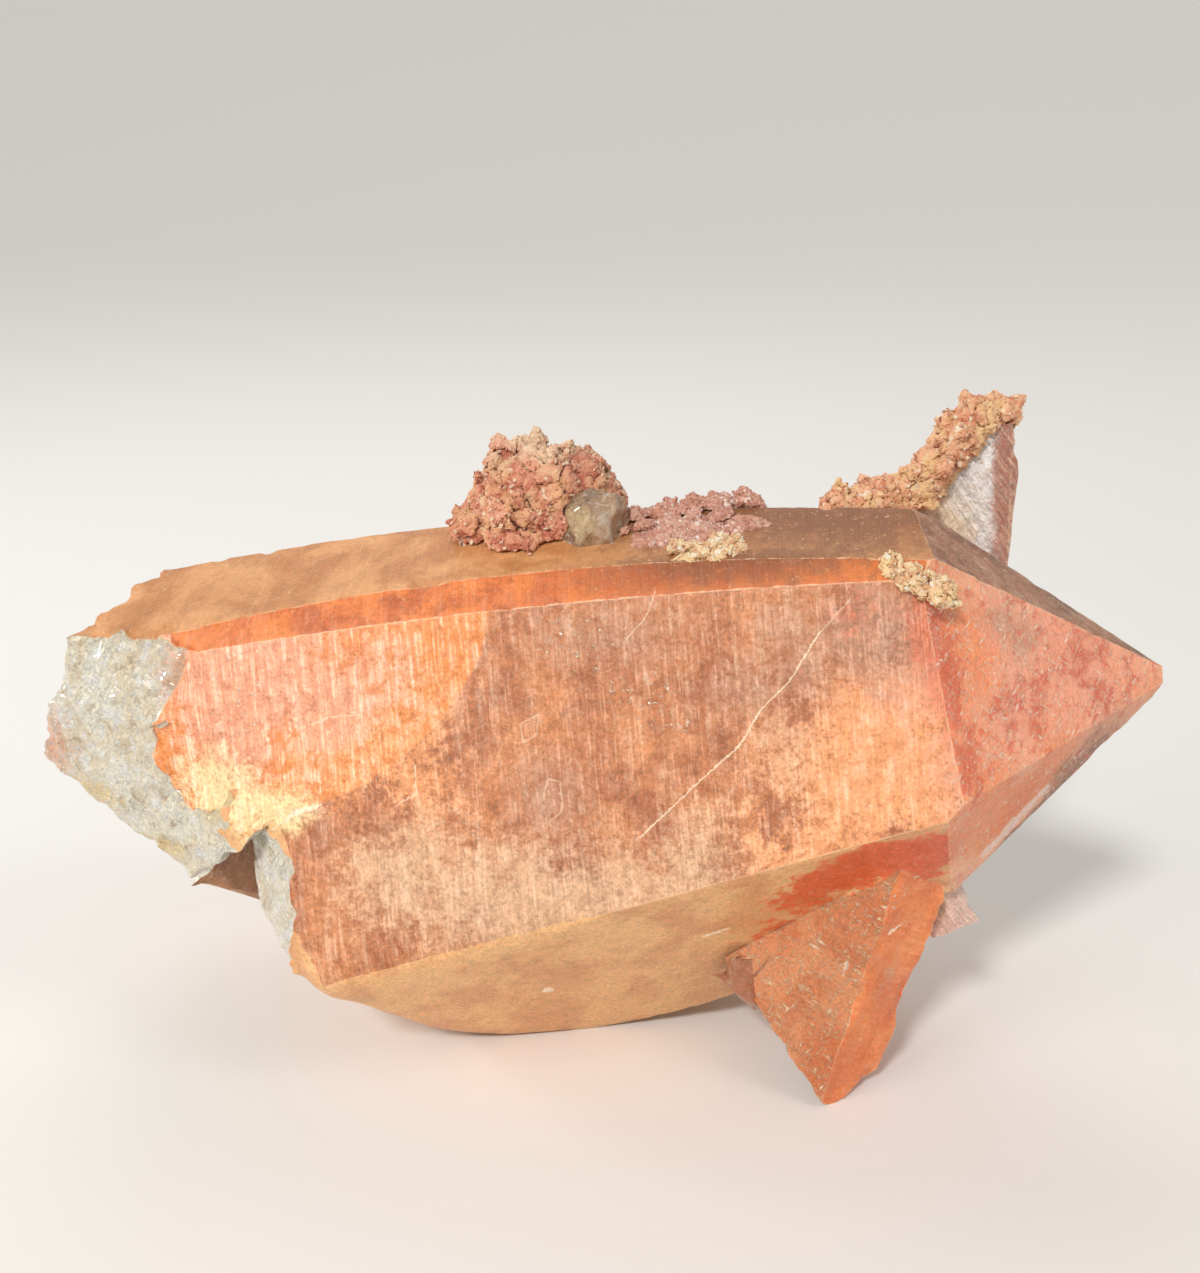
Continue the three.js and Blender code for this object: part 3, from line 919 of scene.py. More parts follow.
@dataclass
class QuartzCrystals:
    """All the quartz in one piece: crystal faces, edges rounded by wear and shell-like breaks."""

    node: str = "quartz_crystals"
    front_spacing: float = 0.75
    back_spacing: float = 1.25
    broken_spacing: float = 0.62
    crease: float = 14.0
    sharp: float = 24.0

    def build(self, frame: dict) -> bpy.types.Object:
        """Makes the piece from the frame's solid.


        Returns:
            The finished object.
        """
        corners, loops = self.flat_faces(frame["nodes"][self.node])
        zones = [self.zone_of(corners[loop]) for loop in loops]
        points, triangles, owner, creases = self.fill(corners, loops, zones)
        zone = np.array([z.value for z in zones])[owner]
        edge = distance_to(points, creases)
        points = self.ragged(points, triangles, zone)
        points, edge = self.rounded(points, triangles, zone, edge)
        normals = self.normals(points, triangles)
        shaped = points + normals * self.relief(points, triangles, zone, edge)[:, None]
        shaped[:, 2] = np.maximum(shaped[:, 2], 0)
        mesh = bpy.data.meshes.new("quartz")
        mesh.from_pydata((shaped * MM).tolist(), [], triangles.tolist())
        piece = placed("quartz", mesh)
        mesh.polygons.foreach_set("material_index", zone.astype(np.int32))
        mesh.polygons.foreach_set("use_smooth", np.ones(len(triangles), bool))
        mesh.set_sharp_from_angle(angle=math.radians(self.sharp))
        self.store(mesh, points, edge)
        return piece

    def flat_faces(self, solid: bpy.types.Object) -> tuple[np.ndarray, list[list[int]]]:
        """Joins the solid's triangles into flat faces.

        Args:
            solid: The frame's own node.

        Returns:
            The corners in millimetres and each face as a loop of corner numbers.
        """
        bm = bmesh.new()
        bm.from_mesh(solid.data)
        bmesh.ops.remove_doubles(bm, verts=bm.verts, dist=2e-6)
        bmesh.ops.dissolve_degenerate(bm, edges=bm.edges, dist=1e-6)
        bmesh.ops.dissolve_limit(bm, angle_limit=math.radians(0.3), verts=bm.verts, edges=bm.edges)
        bm.verts.index_update()
        corners = np.array([v.co for v in bm.verts]) / MM
        loops = [[v.index for v in f.verts] for f in bm.faces]
        bm.free()
        return corners, loops

    def zone_of(self, corners: np.ndarray) -> Zone:
        """Tells what kind of surface a flat face is.

        Args:
            corners: The face's corners in order.

        Returns:
            Its zone.
        """
        normal = newell(corners)
        middle = corners.mean(0)
        if KNOB_CRYSTAL.holds(middle) and normal @ TOP_NORMAL < 0.995:
            return KNOB_CRYSTAL.zone
        if normal[1] > 0.6 and 0.68 < normal[2] < 0.8:
            return Zone.BACK
        for plane in PLANES:
            if plane.fits(normal, middle):
                return plane.zone
        for ball in PLACES:
            if ball.holds(middle):
                brown_side = ball.zone is Zone.BLADE and normal[0] > 0.45 and middle[2] > 60
                return Zone.TIP_TOP if brown_side else ball.zone
        if middle[0] > 55:
            return Zone.TIP
        if middle[0] > 24 and middle[2] < 40 and middle[1] < -5:
            return Zone.FOOT_FROSTED if normal[0] < 0.1 else Zone.FOOT_SMOOTH
        if normal[1] > 0.6 and middle[0] > -50:
            return Zone.BACK
        return Zone.TOP if normal[2] > 0.2 else Zone.UNDER

    def spacing(self, zone: Zone, normal: np.ndarray) -> float:
        """The distance between points on a face: finer on breaks and on what shows.

        Args:
            zone: The face's zone.
            normal: Its unit normal.

        Returns:
            The distance in millimetres.
        """
        if zone in (Zone.BROKEN, Zone.SMOKY):
            return self.broken_spacing
        return self.front_spacing if normal[1] < 0.1 or normal[2] > 0.4 else self.back_spacing

    def fill(
        self, corners: np.ndarray, loops: list[list[int]], zones: list[Zone]
    ) -> tuple[np.ndarray, np.ndarray, np.ndarray, np.ndarray]:
        """Fills every flat face with evenly spaced triangles that share the points on their edges.

        Args:
            corners: The corners of the flat faces.
            loops: Each face's corner numbers.
            zones: Each face's zone.

        Returns:
            Points, triangles, each triangle's face and the points on creases.
        """
        normals = [newell(corners[loop]) for loop in loops]
        gaps = [self.spacing(zone, normal) for zone, normal in zip(zones, normals)]
        sides: dict[tuple[int, int], list[int]] = {}
        for number, loop in enumerate(loops):
            for a, b in zip(loop, loop[1:] + loop[:1]):
                sides.setdefault((min(a, b), max(a, b)), []).append(number)
        points = [tuple(c) for c in corners]
        between: dict[tuple[int, int], list[int]] = {}
        creases: list[tuple] = []
        for (a, b), faces in sides.items():
            length = float(np.linalg.norm(corners[b] - corners[a]))
            count = max(1, round(length / min(gaps[f] for f in faces)))
            between[a, b] = []
            for i in range(1, count):
                between[a, b].append(len(points))
                points.append(tuple(corners[a] + (corners[b] - corners[a]) * (i / count)))
            bend = normals[faces[0]] @ normals[faces[-1]]
            if bend < math.cos(math.radians(self.crease)) and {zones[f] for f in faces} != {Zone.BROKEN}:
                creases += [points[n] for n in (a, *between[a, b], b)]
        triangles: list[tuple[int, int, int]] = []
        owner: list[int] = []
        for number, (loop, normal, gap) in enumerate(zip(loops, normals, gaps)):
            ring: list[int] = []
            for a, b in zip(loop, loop[1:] + loop[:1]):
                inner = between[min(a, b), max(a, b)]
                ring += [a, *(inner if a < b else reversed(inner))]
            made = self.triangulate(points, ring, loop, normal, gap)
            triangles += made
            owner += [number] * len(made)
        return np.array(points), np.array(triangles), np.array(owner), np.array(creases)

    @staticmethod
    def triangulate(
        points: list, ring: list[int], loop: list[int], normal: np.ndarray, gap: float
    ) -> list[tuple[int, int, int]]:
        """Triangulates one flat face with a grid of points inside it.

        Args:
            points: All points so far. The ones inside the face are added.
            ring: The points round the face.
            loop: Its corners alone.
            normal: Its normal.
            gap: The distance between points.

        Returns:
            Its triangles.
        """
        if len(ring) == 3:
            return [tuple(ring)]
        u = np.array(Vector(normal).orthogonal().normalized())
        v = np.cross(normal, u)
        base = np.array(points[ring[0]])
        flat = np.array([points[n] for n in ring]) - base
        rim = np.stack([flat @ u, flat @ v], 1)
        outline = np.array([points[n] for n in loop]) - base
        grid = QuartzCrystals.inner_grid(rim, np.stack([outline @ u, outline @ v], 1), gap)
        numbers = list(ring)
        for x, y in grid:
            numbers.append(len(points))
            points.append(tuple(base + x * u + y * v))
        flat_points = [Vector(p) for p in rim] + [Vector(p) for p in grid]
        made = geometry.delaunay_2d_cdt(flat_points, [], [list(range(len(ring)))], 1, 1e-6)
        origin = [o[0] if o else None for o in made[3]]
        triangles = []
        for face in made[2]:
            corners = [origin[n] for n in face]
            if None not in corners and len(set(corners)) == 3:
                triangles.append(tuple(numbers[n] for n in corners))
        return triangles

    @staticmethod
    def inner_grid(rim: np.ndarray, outline: np.ndarray, gap: float) -> np.ndarray:
        """Lays rows of points inside a flat outline, a little shaken.

        Args:
            rim: The points round the face, in its plane.
            outline: Its corners alone, in its plane.
            gap: The distance between points.

        Returns:
            The points that lie inside and clear of the outline.
        """
        low, high = rim.min(0), rim.max(0)
        row_step, shake, clearance = 0.866, 0.12, 0.55
        xs = np.arange(low[0] + gap / 2, high[0], gap)
        ys = np.arange(low[1] + gap / 2, high[1], gap * row_step)
        grid = np.array([(x + gap / 2 * (j % 2), y) for j, y in enumerate(ys) for x in xs]).reshape(-1, 2)
        if not len(grid):
            return grid
        off = np.stack([np.sin(grid @ (12.9, 78.2)), np.cos(grid @ (39.3, 11.1))], 1)
        grid = grid + gap * shake * off
        inside = np.zeros(len(grid), bool)
        clear = np.full(len(grid), 1e9)
        for p, q in zip(outline, np.roll(outline, -1, 0)):
            d = q - p
            crosses = (p[1] > grid[:, 1]) != (q[1] > grid[:, 1])
            with np.errstate(divide="ignore", invalid="ignore"):
                at = p[0] + (grid[:, 1] - p[1]) * d[0] / d[1]
            inside ^= crosses & (grid[:, 0] < at)
            t = np.clip((grid - p) @ d / max(float(d @ d), 1e-12), 0, 1)
            clear = np.minimum(clear, np.linalg.norm(grid - p - t[:, None] * d, axis=1))
        return grid[inside & (clear > gap * clearance)]

    @staticmethod
    def inside(points: np.ndarray, triangles: np.ndarray, zone: np.ndarray, kind: Zone) -> np.ndarray:
        """One for the points that lie wholly in a zone, and nought for the others."""
        return (zone_share(points, triangles, zone, kind) > 0.999).astype(float)

    @staticmethod
    def ragged(points: np.ndarray, triangles: np.ndarray, zone: np.ndarray) -> np.ndarray:
        """Makes the rim of the breaks uneven.

        Args:
            points: The mesh's points.
            triangles: Its triangles.
            zone: Each triangle's zone.

        Returns:
            The points, with those round a break's rim moved.
        """
        share = zone_share(points, triangles, zone, Zone.BROKEN)
        rim = points[(share > 0) & (share < 1)]
        near = 1 - ease(distance_to(points, rim), 0.2, 3.4)
        shift = [
            1.1 * bumps(points, 6.0, 50 + k) + bumps(points, 2.8, 30 + k) + 0.6 * bumps(points, 1.3, 40 + k)
            for k in range(3)
        ]
        return points + np.stack(shift, 1) * (0.8 * near)[:, None]

    def rounded(
        self, points: np.ndarray, triangles: np.ndarray, zone: np.ndarray, edge: np.ndarray
    ) -> tuple[np.ndarray, np.ndarray]:
        """Softens the breaks, the root of the front foot and the rounded low edge on the left.

        Args:
            points: The mesh's points.
            triangles: Its triangles.
            zone: Each triangle's zone.
            edge: Each point's distance from a crease.

        Returns:
            The smoothed points, and the distances with the softened places moved off the creases.
        """
        broken = self.inside(points, triangles, zone, Zone.BROKEN)
        points = self.smoothed(points, triangles, broken, 7, 0.6)
        root = 1 - ease(distance_to(points, between_corners(FOOT_TOP)), 1.6, 4.0)
        points = self.smoothed(points, triangles, root, 40, 0.5)
        low_edge = ease(-points[:, 0], -6, 22) * ease(-points[:, 1], 8, 20) * (1 - ease(points[:, 2], 52, 60))
        unbroken = zone_share(points, triangles, zone, Zone.BROKEN) == 0
        points = self.smoothed(points, triangles, low_edge * unbroken, 60, 0.5)
        # Moving the softened places off the creases keeps the painted edge highlight off them.
        return points, edge + 4 * low_edge + 4 * root

    @staticmethod
    def smoothed(
        points: np.ndarray, triangles: np.ndarray, weight: np.ndarray, rounds: int, pace: float
    ) -> np.ndarray:
        """Smooths part of the mesh.

        Args:
            points: The mesh's points.
            triangles: Its triangles.
            weight: From nought where a point stays to one where it moves freely.
            rounds: How often points move towards the mean of their neighbours.
            pace: How far they move each time.

        Returns:
            The smoothed points.
        """
        pairs = np.concatenate([triangles[:, [0, 1]], triangles[:, [1, 2]], triangles[:, [2, 0]]])
        pairs = np.concatenate([pairs, pairs[:, ::-1]])
        degree = np.maximum(np.bincount(pairs[:, 0], minlength=len(points)), 1)
        moved = points.copy()
        for _ in range(rounds):
            near = moved[pairs[:, 1]]
            total = np.stack([np.bincount(pairs[:, 0], near[:, k], len(points)) for k in range(3)], 1)
            moved += pace * weight[:, None] * (total / degree[:, None] - moved)
        return moved

    @staticmethod
    def normals(points: np.ndarray, triangles: np.ndarray) -> np.ndarray:
        """The outward direction at each point.

        Args:
            points: The mesh's points.
            triangles: Its triangles.

        Returns:
            Unit vectors, one a row.
        """
        a, b, c = (points[triangles[:, k]] for k in range(3))
        face = np.cross(b - a, c - a)
        total = np.zeros_like(points)
        for k in range(3):
            np.add.at(total, triangles[:, k], face)
        return total / np.maximum(np.linalg.norm(total, axis=1), 1e-12)[:, None]

    @staticmethod
    def relief(points: np.ndarray, triangles: np.ndarray, zone: np.ndarray, edge: np.ndarray) -> np.ndarray:
        """How far each point moves outwards: growth lines, shell-like ripples, pits and edges rounded by
        wear.

        Args:
            points: The mesh's points.
            triangles: Its triangles.
            zone: Each triangle's zone.
            edge: Each point's distance from a crease.

        Returns:
            The moves in millimetres.
        """
        share = {z: zone_share(points, triangles, zone, z) for z in Zone}
        own = np.stack([points @ np.array(d) for d in (ALONG, FRONT_SIDE, UPWARD)], 1)
        lines = 0.6 * bumps(own, (1.7, 26, 30), 3) + 0.8 * bumps(own, (4.2, 40, 44), 4)
        lines += 0.3 * bumps(own, (0.9, 12, 14), 5)
        swell = bumps(points, 16, 6)
        fine = bumps(points, 1.9, 7)
        move = 0.10 * swell * np.minimum(edge, 3) / 3
        move += (share[Zone.FRONT] + share[Zone.BACK]) * (0.09 * lines + 0.03 * fine)
        move += share[Zone.TOP] * (0.035 * lines + 0.03 * fine)
        move += share[Zone.TIP] * (0.08 * bumps(points, 4.2, 8) + 0.07 * fine)
        move += share[Zone.TIP_TOP] * (0.10 * bumps(points, 3.2, 18) + 0.08 * fine)
        move += share[Zone.UNDER] * (0.05 * bumps(points, 6, 9))
        move += share[Zone.FOOT_FROSTED] * (0.34 * crests(points, 2.4, 10) + 0.1 * bumps(points, 0.9, 11))
        move += share[Zone.FOOT_SMOOTH] * 0.03 * fine
        foot = share[Zone.FOOT_FROSTED] + share[Zone.FOOT_SMOOTH]
        nicks = bumps(points, 4.4, 22) + 0.4 * bumps(points, 1.9, 23)
        move += foot * (1 - ease(edge, 0.4, 3.4)) * 0.7 * nicks
        move += share[Zone.BLADE] * 0.4 * crests(points @ np.array(BLADE_TURN), (2.2, 20, 14), 12)
        shards = 1.1 * crests(points, (1.8, 2.6, 4.6), 13) + 0.35 * crests(points, 1.4, 19)
        move += share[Zone.SMOKY] * shards
        shell = np.zeros(len(points))
        for number, centre in enumerate(SHELLS):
            far = np.linalg.norm(points - centre, axis=1) + 1.4 * bumps(points, 7, 20 + number)
            ripple = np.sin(far * 2 * math.pi / (2.6 + 0.5 * number))
            shell += ripple * np.exp(-((far / (9 + 2 * number)) ** 2))
        crumb = 0.9 * crests(points, 5.2, 14) + 0.45 * crests(points, 2.2, 15) + 0.12 * bumps(points, 1.0, 16)
        move += share[Zone.BROKEN] * (0.2 * shell + crumb)
        chips = np.maximum(0, bumps(points, 2.6, 17) - 0.42) * (1 - ease(edge, 0.0, 1.3))
        return move - 0.07 * (1 - ease(edge, 0, 0.8)) - 0.9 * chips

    @staticmethod
    def store(mesh: bpy.types.Mesh, points: np.ndarray, edge: np.ndarray) -> None:
        """Keeps on the mesh what its materials read: stains, the distance from the creases for the painted
        edge highlight, the bright part and thin lines.

        Args:
            mesh: The finished mesh.
            points: Its points before the relief.
            edge: Each point's distance from a crease.
        """
        values = {"edge": edge}
        for name, stains in STAINS.items():
            values[name] = np.full(len(points), -1.0)
            for stain in stains:
                full = stain.fullness * (STAIN_REACH - stain.away(points))
                values[name] = np.maximum(values[name], full)
        values["bright"] = np.clip(beside(points[:, [0, 2]], GLOW_EDGE)[0], -6, 6)
        values["crack"], values["crack_run"] = QuartzCrystals.thin_lines(points)
        for name, value in values.items():
            mesh.attributes.new(name, "FLOAT", "POINT").data.foreach_set("value", value.astype(np.float32))

    @staticmethod
    def thin_lines(points: np.ndarray) -> tuple[np.ndarray, np.ndarray]:
        """Finds the thin lines on the front.

        Args:
            points: The mesh's points.

        Returns:
            The signed distance to the nearest line, and how strong that line is there.
        """
        crack = np.full(len(points), 9.0)
        run = np.zeros(len(points))
        for line in LINES:
            off, end = beside(points[:, [0, 2]], line.corners)
            far = np.abs(off) + end
            nearer = far < np.abs(crack)
            crack[nearer] = off[nearer]
            run[nearer] = (line.fade * (1 - ease(far, 0.9, 1.8)) * (1 - ease(end, 0, 0.8)))[nearer]
        return np.clip(crack, -3, 3), run * (points[:, 1] < -12)

    def dress(self, piece: bpy.types.Object) -> None:
        """Gives every zone its finish and puts the piece in the node's place.

        Args:
            piece: The built object.
        """
        for finish in FINISHES:
            piece.data.materials.append(finish.material())
        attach(piece, "root")
        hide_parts(self.node)


def zone_share(points: np.ndarray, triangles: np.ndarray, zone: np.ndarray, kind: Zone) -> np.ndarray:
    """The share of the triangles round each point that lie in a zone."""
    count = np.maximum(np.bincount(triangles.ravel(), minlength=len(points)), 1)
    return np.bincount(triangles[zone == kind.value].ravel(), minlength=len(points)) / count


def newell(corners: np.ndarray) -> np.ndarray:
    """The unit normal of a flat face.

    Args:
        corners: Its corners in order.

    Returns:
        The normal.
    """
    following = np.roll(corners, -1, 0)
    normal = np.cross(corners - corners[0], following - corners[0]).sum(0)
    return normal / max(float(np.linalg.norm(normal)), 1e-12)


def beside(points: np.ndarray, corners: tuple) -> tuple[np.ndarray, np.ndarray]:
    """How far points lie beside a bent line.

    Args:
        points: Flat places, one a row.
        corners: The line's corners.

    Returns:
        The signed distance to the line's left side, and how far past an end each place is.
    """
    best = np.full(len(points), 1e9)
    off = np.zeros(len(points))
    end = np.zeros(len(points))
    last = len(corners) - 2
    for i, (a, b) in enumerate(zip(corners, corners[1:])):
        a, d = np.array(a), np.array(b) - np.array(a)
        length = float(np.linalg.norm(d))
        way = d / length
        along = (points - a) @ way
        side = (points - a) @ np.array([-way[1], way[0]])
        past = np.maximum(np.maximum(-along, along - length), 0)
        far = np.hypot(side, past)
        nearer = far < best
        best[nearer] = far[nearer]
        off[nearer] = (np.sign(side) * far)[nearer]
        outer = ((i == 0) & (along < 0)) | ((i == last) & (along > length))
        end[nearer] = np.where(outer, past, 0)[nearer]
    return off, end


FRONT_STAINS = (
    StainColour("bright", tint(242, 142, 68), -0.3, 0.3, 0.85, 0.5),
    StainColour("amber", tint(250, 166, 106), 0.0, 0.7, 0.75),
    StainColour("pink", tint(232, 156, 124), 0.0, 0.7, 0.75),
    StainColour("pale", tint(218, 176, 138), 0.0, 0.9, 0.7),
    StainColour("grey", tint(180, 128, 100), 0.0, 0.8, 0.75),
    StainColour("red", tint(204, 92, 54), 0.1, 0.7, 0.6),
    StainColour("yellow", tint(246, 218, 160), 0.0, 0.9, 0.85),
)
AMBER = StainColour("amber", tint(240, 136, 80), 0.0, 0.7, 0.8)
PINK = StainColour("pink", tint(240, 154, 126), 0.0, 0.9, 0.6)
GREY = StainColour("grey", tint(176, 138, 112), 0.0, 0.6, 0.6)
# A dark brown, partly real stain and partly painted shade
BROWN_AND_SHADE = StainColour("brown_and_shade", tint(112, 62, 36), 0.0, 0.8, 0.8)
BLADE_BROWN = StainColour("brown_and_shade", tint(178, 92, 58), 0.0, 0.8, 0.9)
TIP_ORANGE = StainColour("rust", tint(226, 108, 44), 0.0, 0.9, 0.6)
DEEP_RED = StainColour("red", tint(200, 84, 56), 0.05, 0.6, 0.75, 1.4)
RUST = StainColour("rust", tint(220, 78, 10), 0.1, 0.5, 0.92, 1.2)
SOFT_RUST = StainColour("rust", tint(214, 108, 56), 0.0, 0.8, 0.7)
CREAM = StainColour("yellow", tint(240, 208, 150), 0.1, 0.8, 0.6)
GLASSY = StainColour("pale", tint(240, 214, 204), 0.1, 0.7, 0.75, 1.3)
SMOKY_AMBER = StainColour("amber", tint(196, 108, 58), 0.0, 0.8, 0.8)
BROKEN_PINK = StainColour("pink", tint(244, 172, 128), 0.0, 0.8, 0.85)
BROKEN_YELLOW = StainColour("yellow", tint(248, 214, 146), 0.1, 0.8, 0.85)
BACK_BRIGHT = StainColour("bright", tint(242, 142, 72), -0.3, 0.6, 0.8, 2.0)
CHIPS = StainColour("chips", tint(255, 238, 210), 0.2, 0.6, 0.85, 0.7)

FINISHES = (
    QuartzFinish(
        "front_face", light=tint(204, 130, 80), dark=tint(174, 102, 60), streaks=0.36, strokes_and_glints=0.12,
        flecks_and_glints=0.12, rust=0.2, speckle=0.75, edge=0.5, stains=(*FRONT_STAINS, CHIPS),
    ),
    QuartzFinish(
        "bevel_face", light=tint(230, 128, 56), dark=tint(190, 94, 40), streaks=0.08, flecks_and_glints=0.4,
        frost=tint(250, 190, 140), rust=0.2, speckle=0.6, edge=0.6, stains=(BROWN_AND_SHADE, CREAM),
    ),
    QuartzFinish(
        "top_face", light=tint(218, 158, 104), dark=tint(190, 126, 74), streaks=0.04, flecks_and_glints=0.5,
        frost=tint(246, 200, 152), rough=0.46, rust=0.2, edge=0.2, stains=(GREY, BROWN_AND_SHADE),
    ),
    QuartzFinish(
        "tip_face", light=tint(254, 190, 148), dark=tint(240, 158, 118), streaks=0.12, strokes_and_glints=0.6,
        flecks_and_glints=0.3, rust=0.7, speckle=0.5, rust_colour=tint(204, 92, 66), lines_depth=0.15, edge=0.25,
        stains=(PINK, AMBER, TIP_ORANGE, GREY, BROWN_AND_SHADE, DEEP_RED, CREAM, GLASSY, CHIPS),
    ),
    QuartzFinish(
        "under_face", light=tint(240, 186, 128), dark=tint(222, 158, 104), strokes_and_glints=0.12, flecks_and_glints=0.15,
        rust=0.2, rough=0.36, speckle=0.6, lines_depth=0.2, edge=0.25,
        stains=(GREY, BROWN_AND_SHADE, CREAM, RUST, CHIPS),
    ),
    # The foot's pale strokes and flecks are partly painted highlights.
    QuartzFinish(
        "foot_frosted", light=tint(236, 156, 106), dark=tint(214, 128, 82), strokes_and_glints=0.9, flecks_and_glints=0.55,
        frost=tint(255, 228, 188), speckle=0.6, rough=0.28, depth=0.18, lines_depth=0.0, edge=0.2,
        stains=(SOFT_RUST, CHIPS),
    ),
    QuartzFinish(
        "foot_smooth", light=tint(242, 142, 76), dark=tint(226, 116, 56), streaks=0.15, strokes_and_glints=0.15,
        flecks_and_glints=0.12, rust=0.15, speckle=0.45, lines_along=(0.3, 0.3, 0.9), edge=0.5,
        stains=(GREY, SOFT_RUST, CHIPS),
    ),
    QuartzFinish(
        "blade_face", light=tint(255, 254, 252), dark=tint(252, 242, 234), streaks=0.7,
        lines_along=(0.8, 0, 0.6), strokes_and_glints=0.6, flecks_and_glints=0.3, rust=0.0, rough=0.1, depth=0.2, speckle=0.3,
        glow=0.0, coat=0.3, flaky=0.5, flake_dark=tint(214, 180, 156), stains=(PINK, CREAM, BLADE_BROWN),
    ),
    # On the smoky crystal the light flakes are partly painted glints.
    QuartzFinish(
        "smoky_face", light=tint(204, 164, 126), dark=tint(116, 82, 60), strokes_and_glints=0.35, flecks_and_glints=0.05,
        rust=0.2, rough=0.04, depth=0.1, lines_depth=0.1, clear=0.3, edge=0.0, glow=0.0, coat=0.6,
        flaky=0.6, flake_dark=tint(62, 42, 30), pale_flake_and_glint=tint(236, 218, 196),
        stains=(CREAM, SMOKY_AMBER),
    ),
    # On the breaks the white strokes and flecks are painted glints, and the light flakes are partly painted
    # glints.
    QuartzFinish(
        "broken_face", light=tint(255, 248, 224), dark=tint(244, 224, 188), strokes_and_glints=0.95, flecks_and_glints=0.6,
        frost=tint(255, 254, 244), speckle=0.5, rust=0.0, rough=0.05, depth=0.22, lines_depth=0.0, glow=0.0,
        coat=0.6, flaky=0.95, flake_dark=tint(186, 146, 100), edge=0.8, edge_highlight_colour=tint(250, 212, 160),
        stains=(BROKEN_PINK, BROKEN_YELLOW),
    ),
    QuartzFinish(
        "tip_top_face", light=tint(176, 124, 96), dark=tint(140, 94, 72), streaks=0.3, strokes_and_glints=0.3,
        flecks_and_glints=0.4, rust=0.3, lines_along=(0.3, 0.8, 0.1), lines_depth=0.4, edge=0.3,
    ),
    QuartzFinish(
        "back_face", light=tint(236, 162, 112), dark=tint(206, 128, 82), streaks=0.34, strokes_and_glints=0.15,
        flecks_and_glints=0.15, rust=0.25, speckle=0.75, edge=0.5, stains=(BACK_BRIGHT,),
    ),
)


@dataclass(frozen=True)
class Mound:
    """A low spread of crust that hugs the quartz: its middle, half widths and height."""

    centre: Triple
    radii: tuple[float, float]
    height: float
    rings: int = 14
    around: int = 56

    def add_to(self, bm: bmesh.types.BMesh, quartz: BVHTree) -> None:
        """Adds the spread to a crust's base as a closed shape.

        Args:
            bm: The base.
            quartz: The quartz's surface, which the spread follows.
        """
        rings, around = self.rings, self.around
        turn = np.arange(around) * 2 * math.pi / around
        circle = np.stack([2.2 * np.cos(turn), 2.2 * np.sin(turn), 0 * turn], 1)
        wobble = 1 + 0.22 * bumps(circle + self.centre, 1.0, 61)
        flat = [(0.0, self.centre[0], self.centre[1])]
        for ring in range(1, rings + 1):
            part = ring / rings
            xs = self.centre[0] + self.radii[0] * part * wobble * np.cos(turn)
            ys = self.centre[1] + self.radii[1] * part * wobble * np.sin(turn)
            flat += [(part, x, y) for x, y in zip(xs, ys)]
        top, bottom = [], []
        for part, x, y in flat:
            hit = quartz.ray_cast(Vector((x, y, self.centre[2] + 14)) * MM, Vector((0, 0, -1)))[0]
            level = hit.z / MM if hit else self.centre[2]
            uneven = 0.75 + 0.4 * float(bumps(np.array([[x, y, 0.0]]), 2.4, 62)[0])
            rise = self.height * (1 - part**2) ** 0.7 * uneven
            top.append(bm.verts.new(Vector((x, y, level + rise - 0.1)) * MM))
            bottom.append(bm.verts.new(Vector((x, y, level - 0.6)) * MM))
        for i in range(around):
            j = (i + 1) % around
            bm.faces.new((top[0], top[1 + i], top[1 + j]))
            bm.faces.new((bottom[0], bottom[1 + j], bottom[1 + i]))
            for ring in range(rings - 1):
                a, b = 1 + ring * around, 1 + (ring + 1) * around
                bm.faces.new((top[a + i], top[b + i], top[b + j], top[a + j]))
                bm.faces.new((bottom[a + j], bottom[b + j], bottom[b + i], bottom[a + i]))
            rim = 1 + (rings - 1) * around
            bm.faces.new((top[rim + i], bottom[rim + i], bottom[rim + j], top[rim + j]))


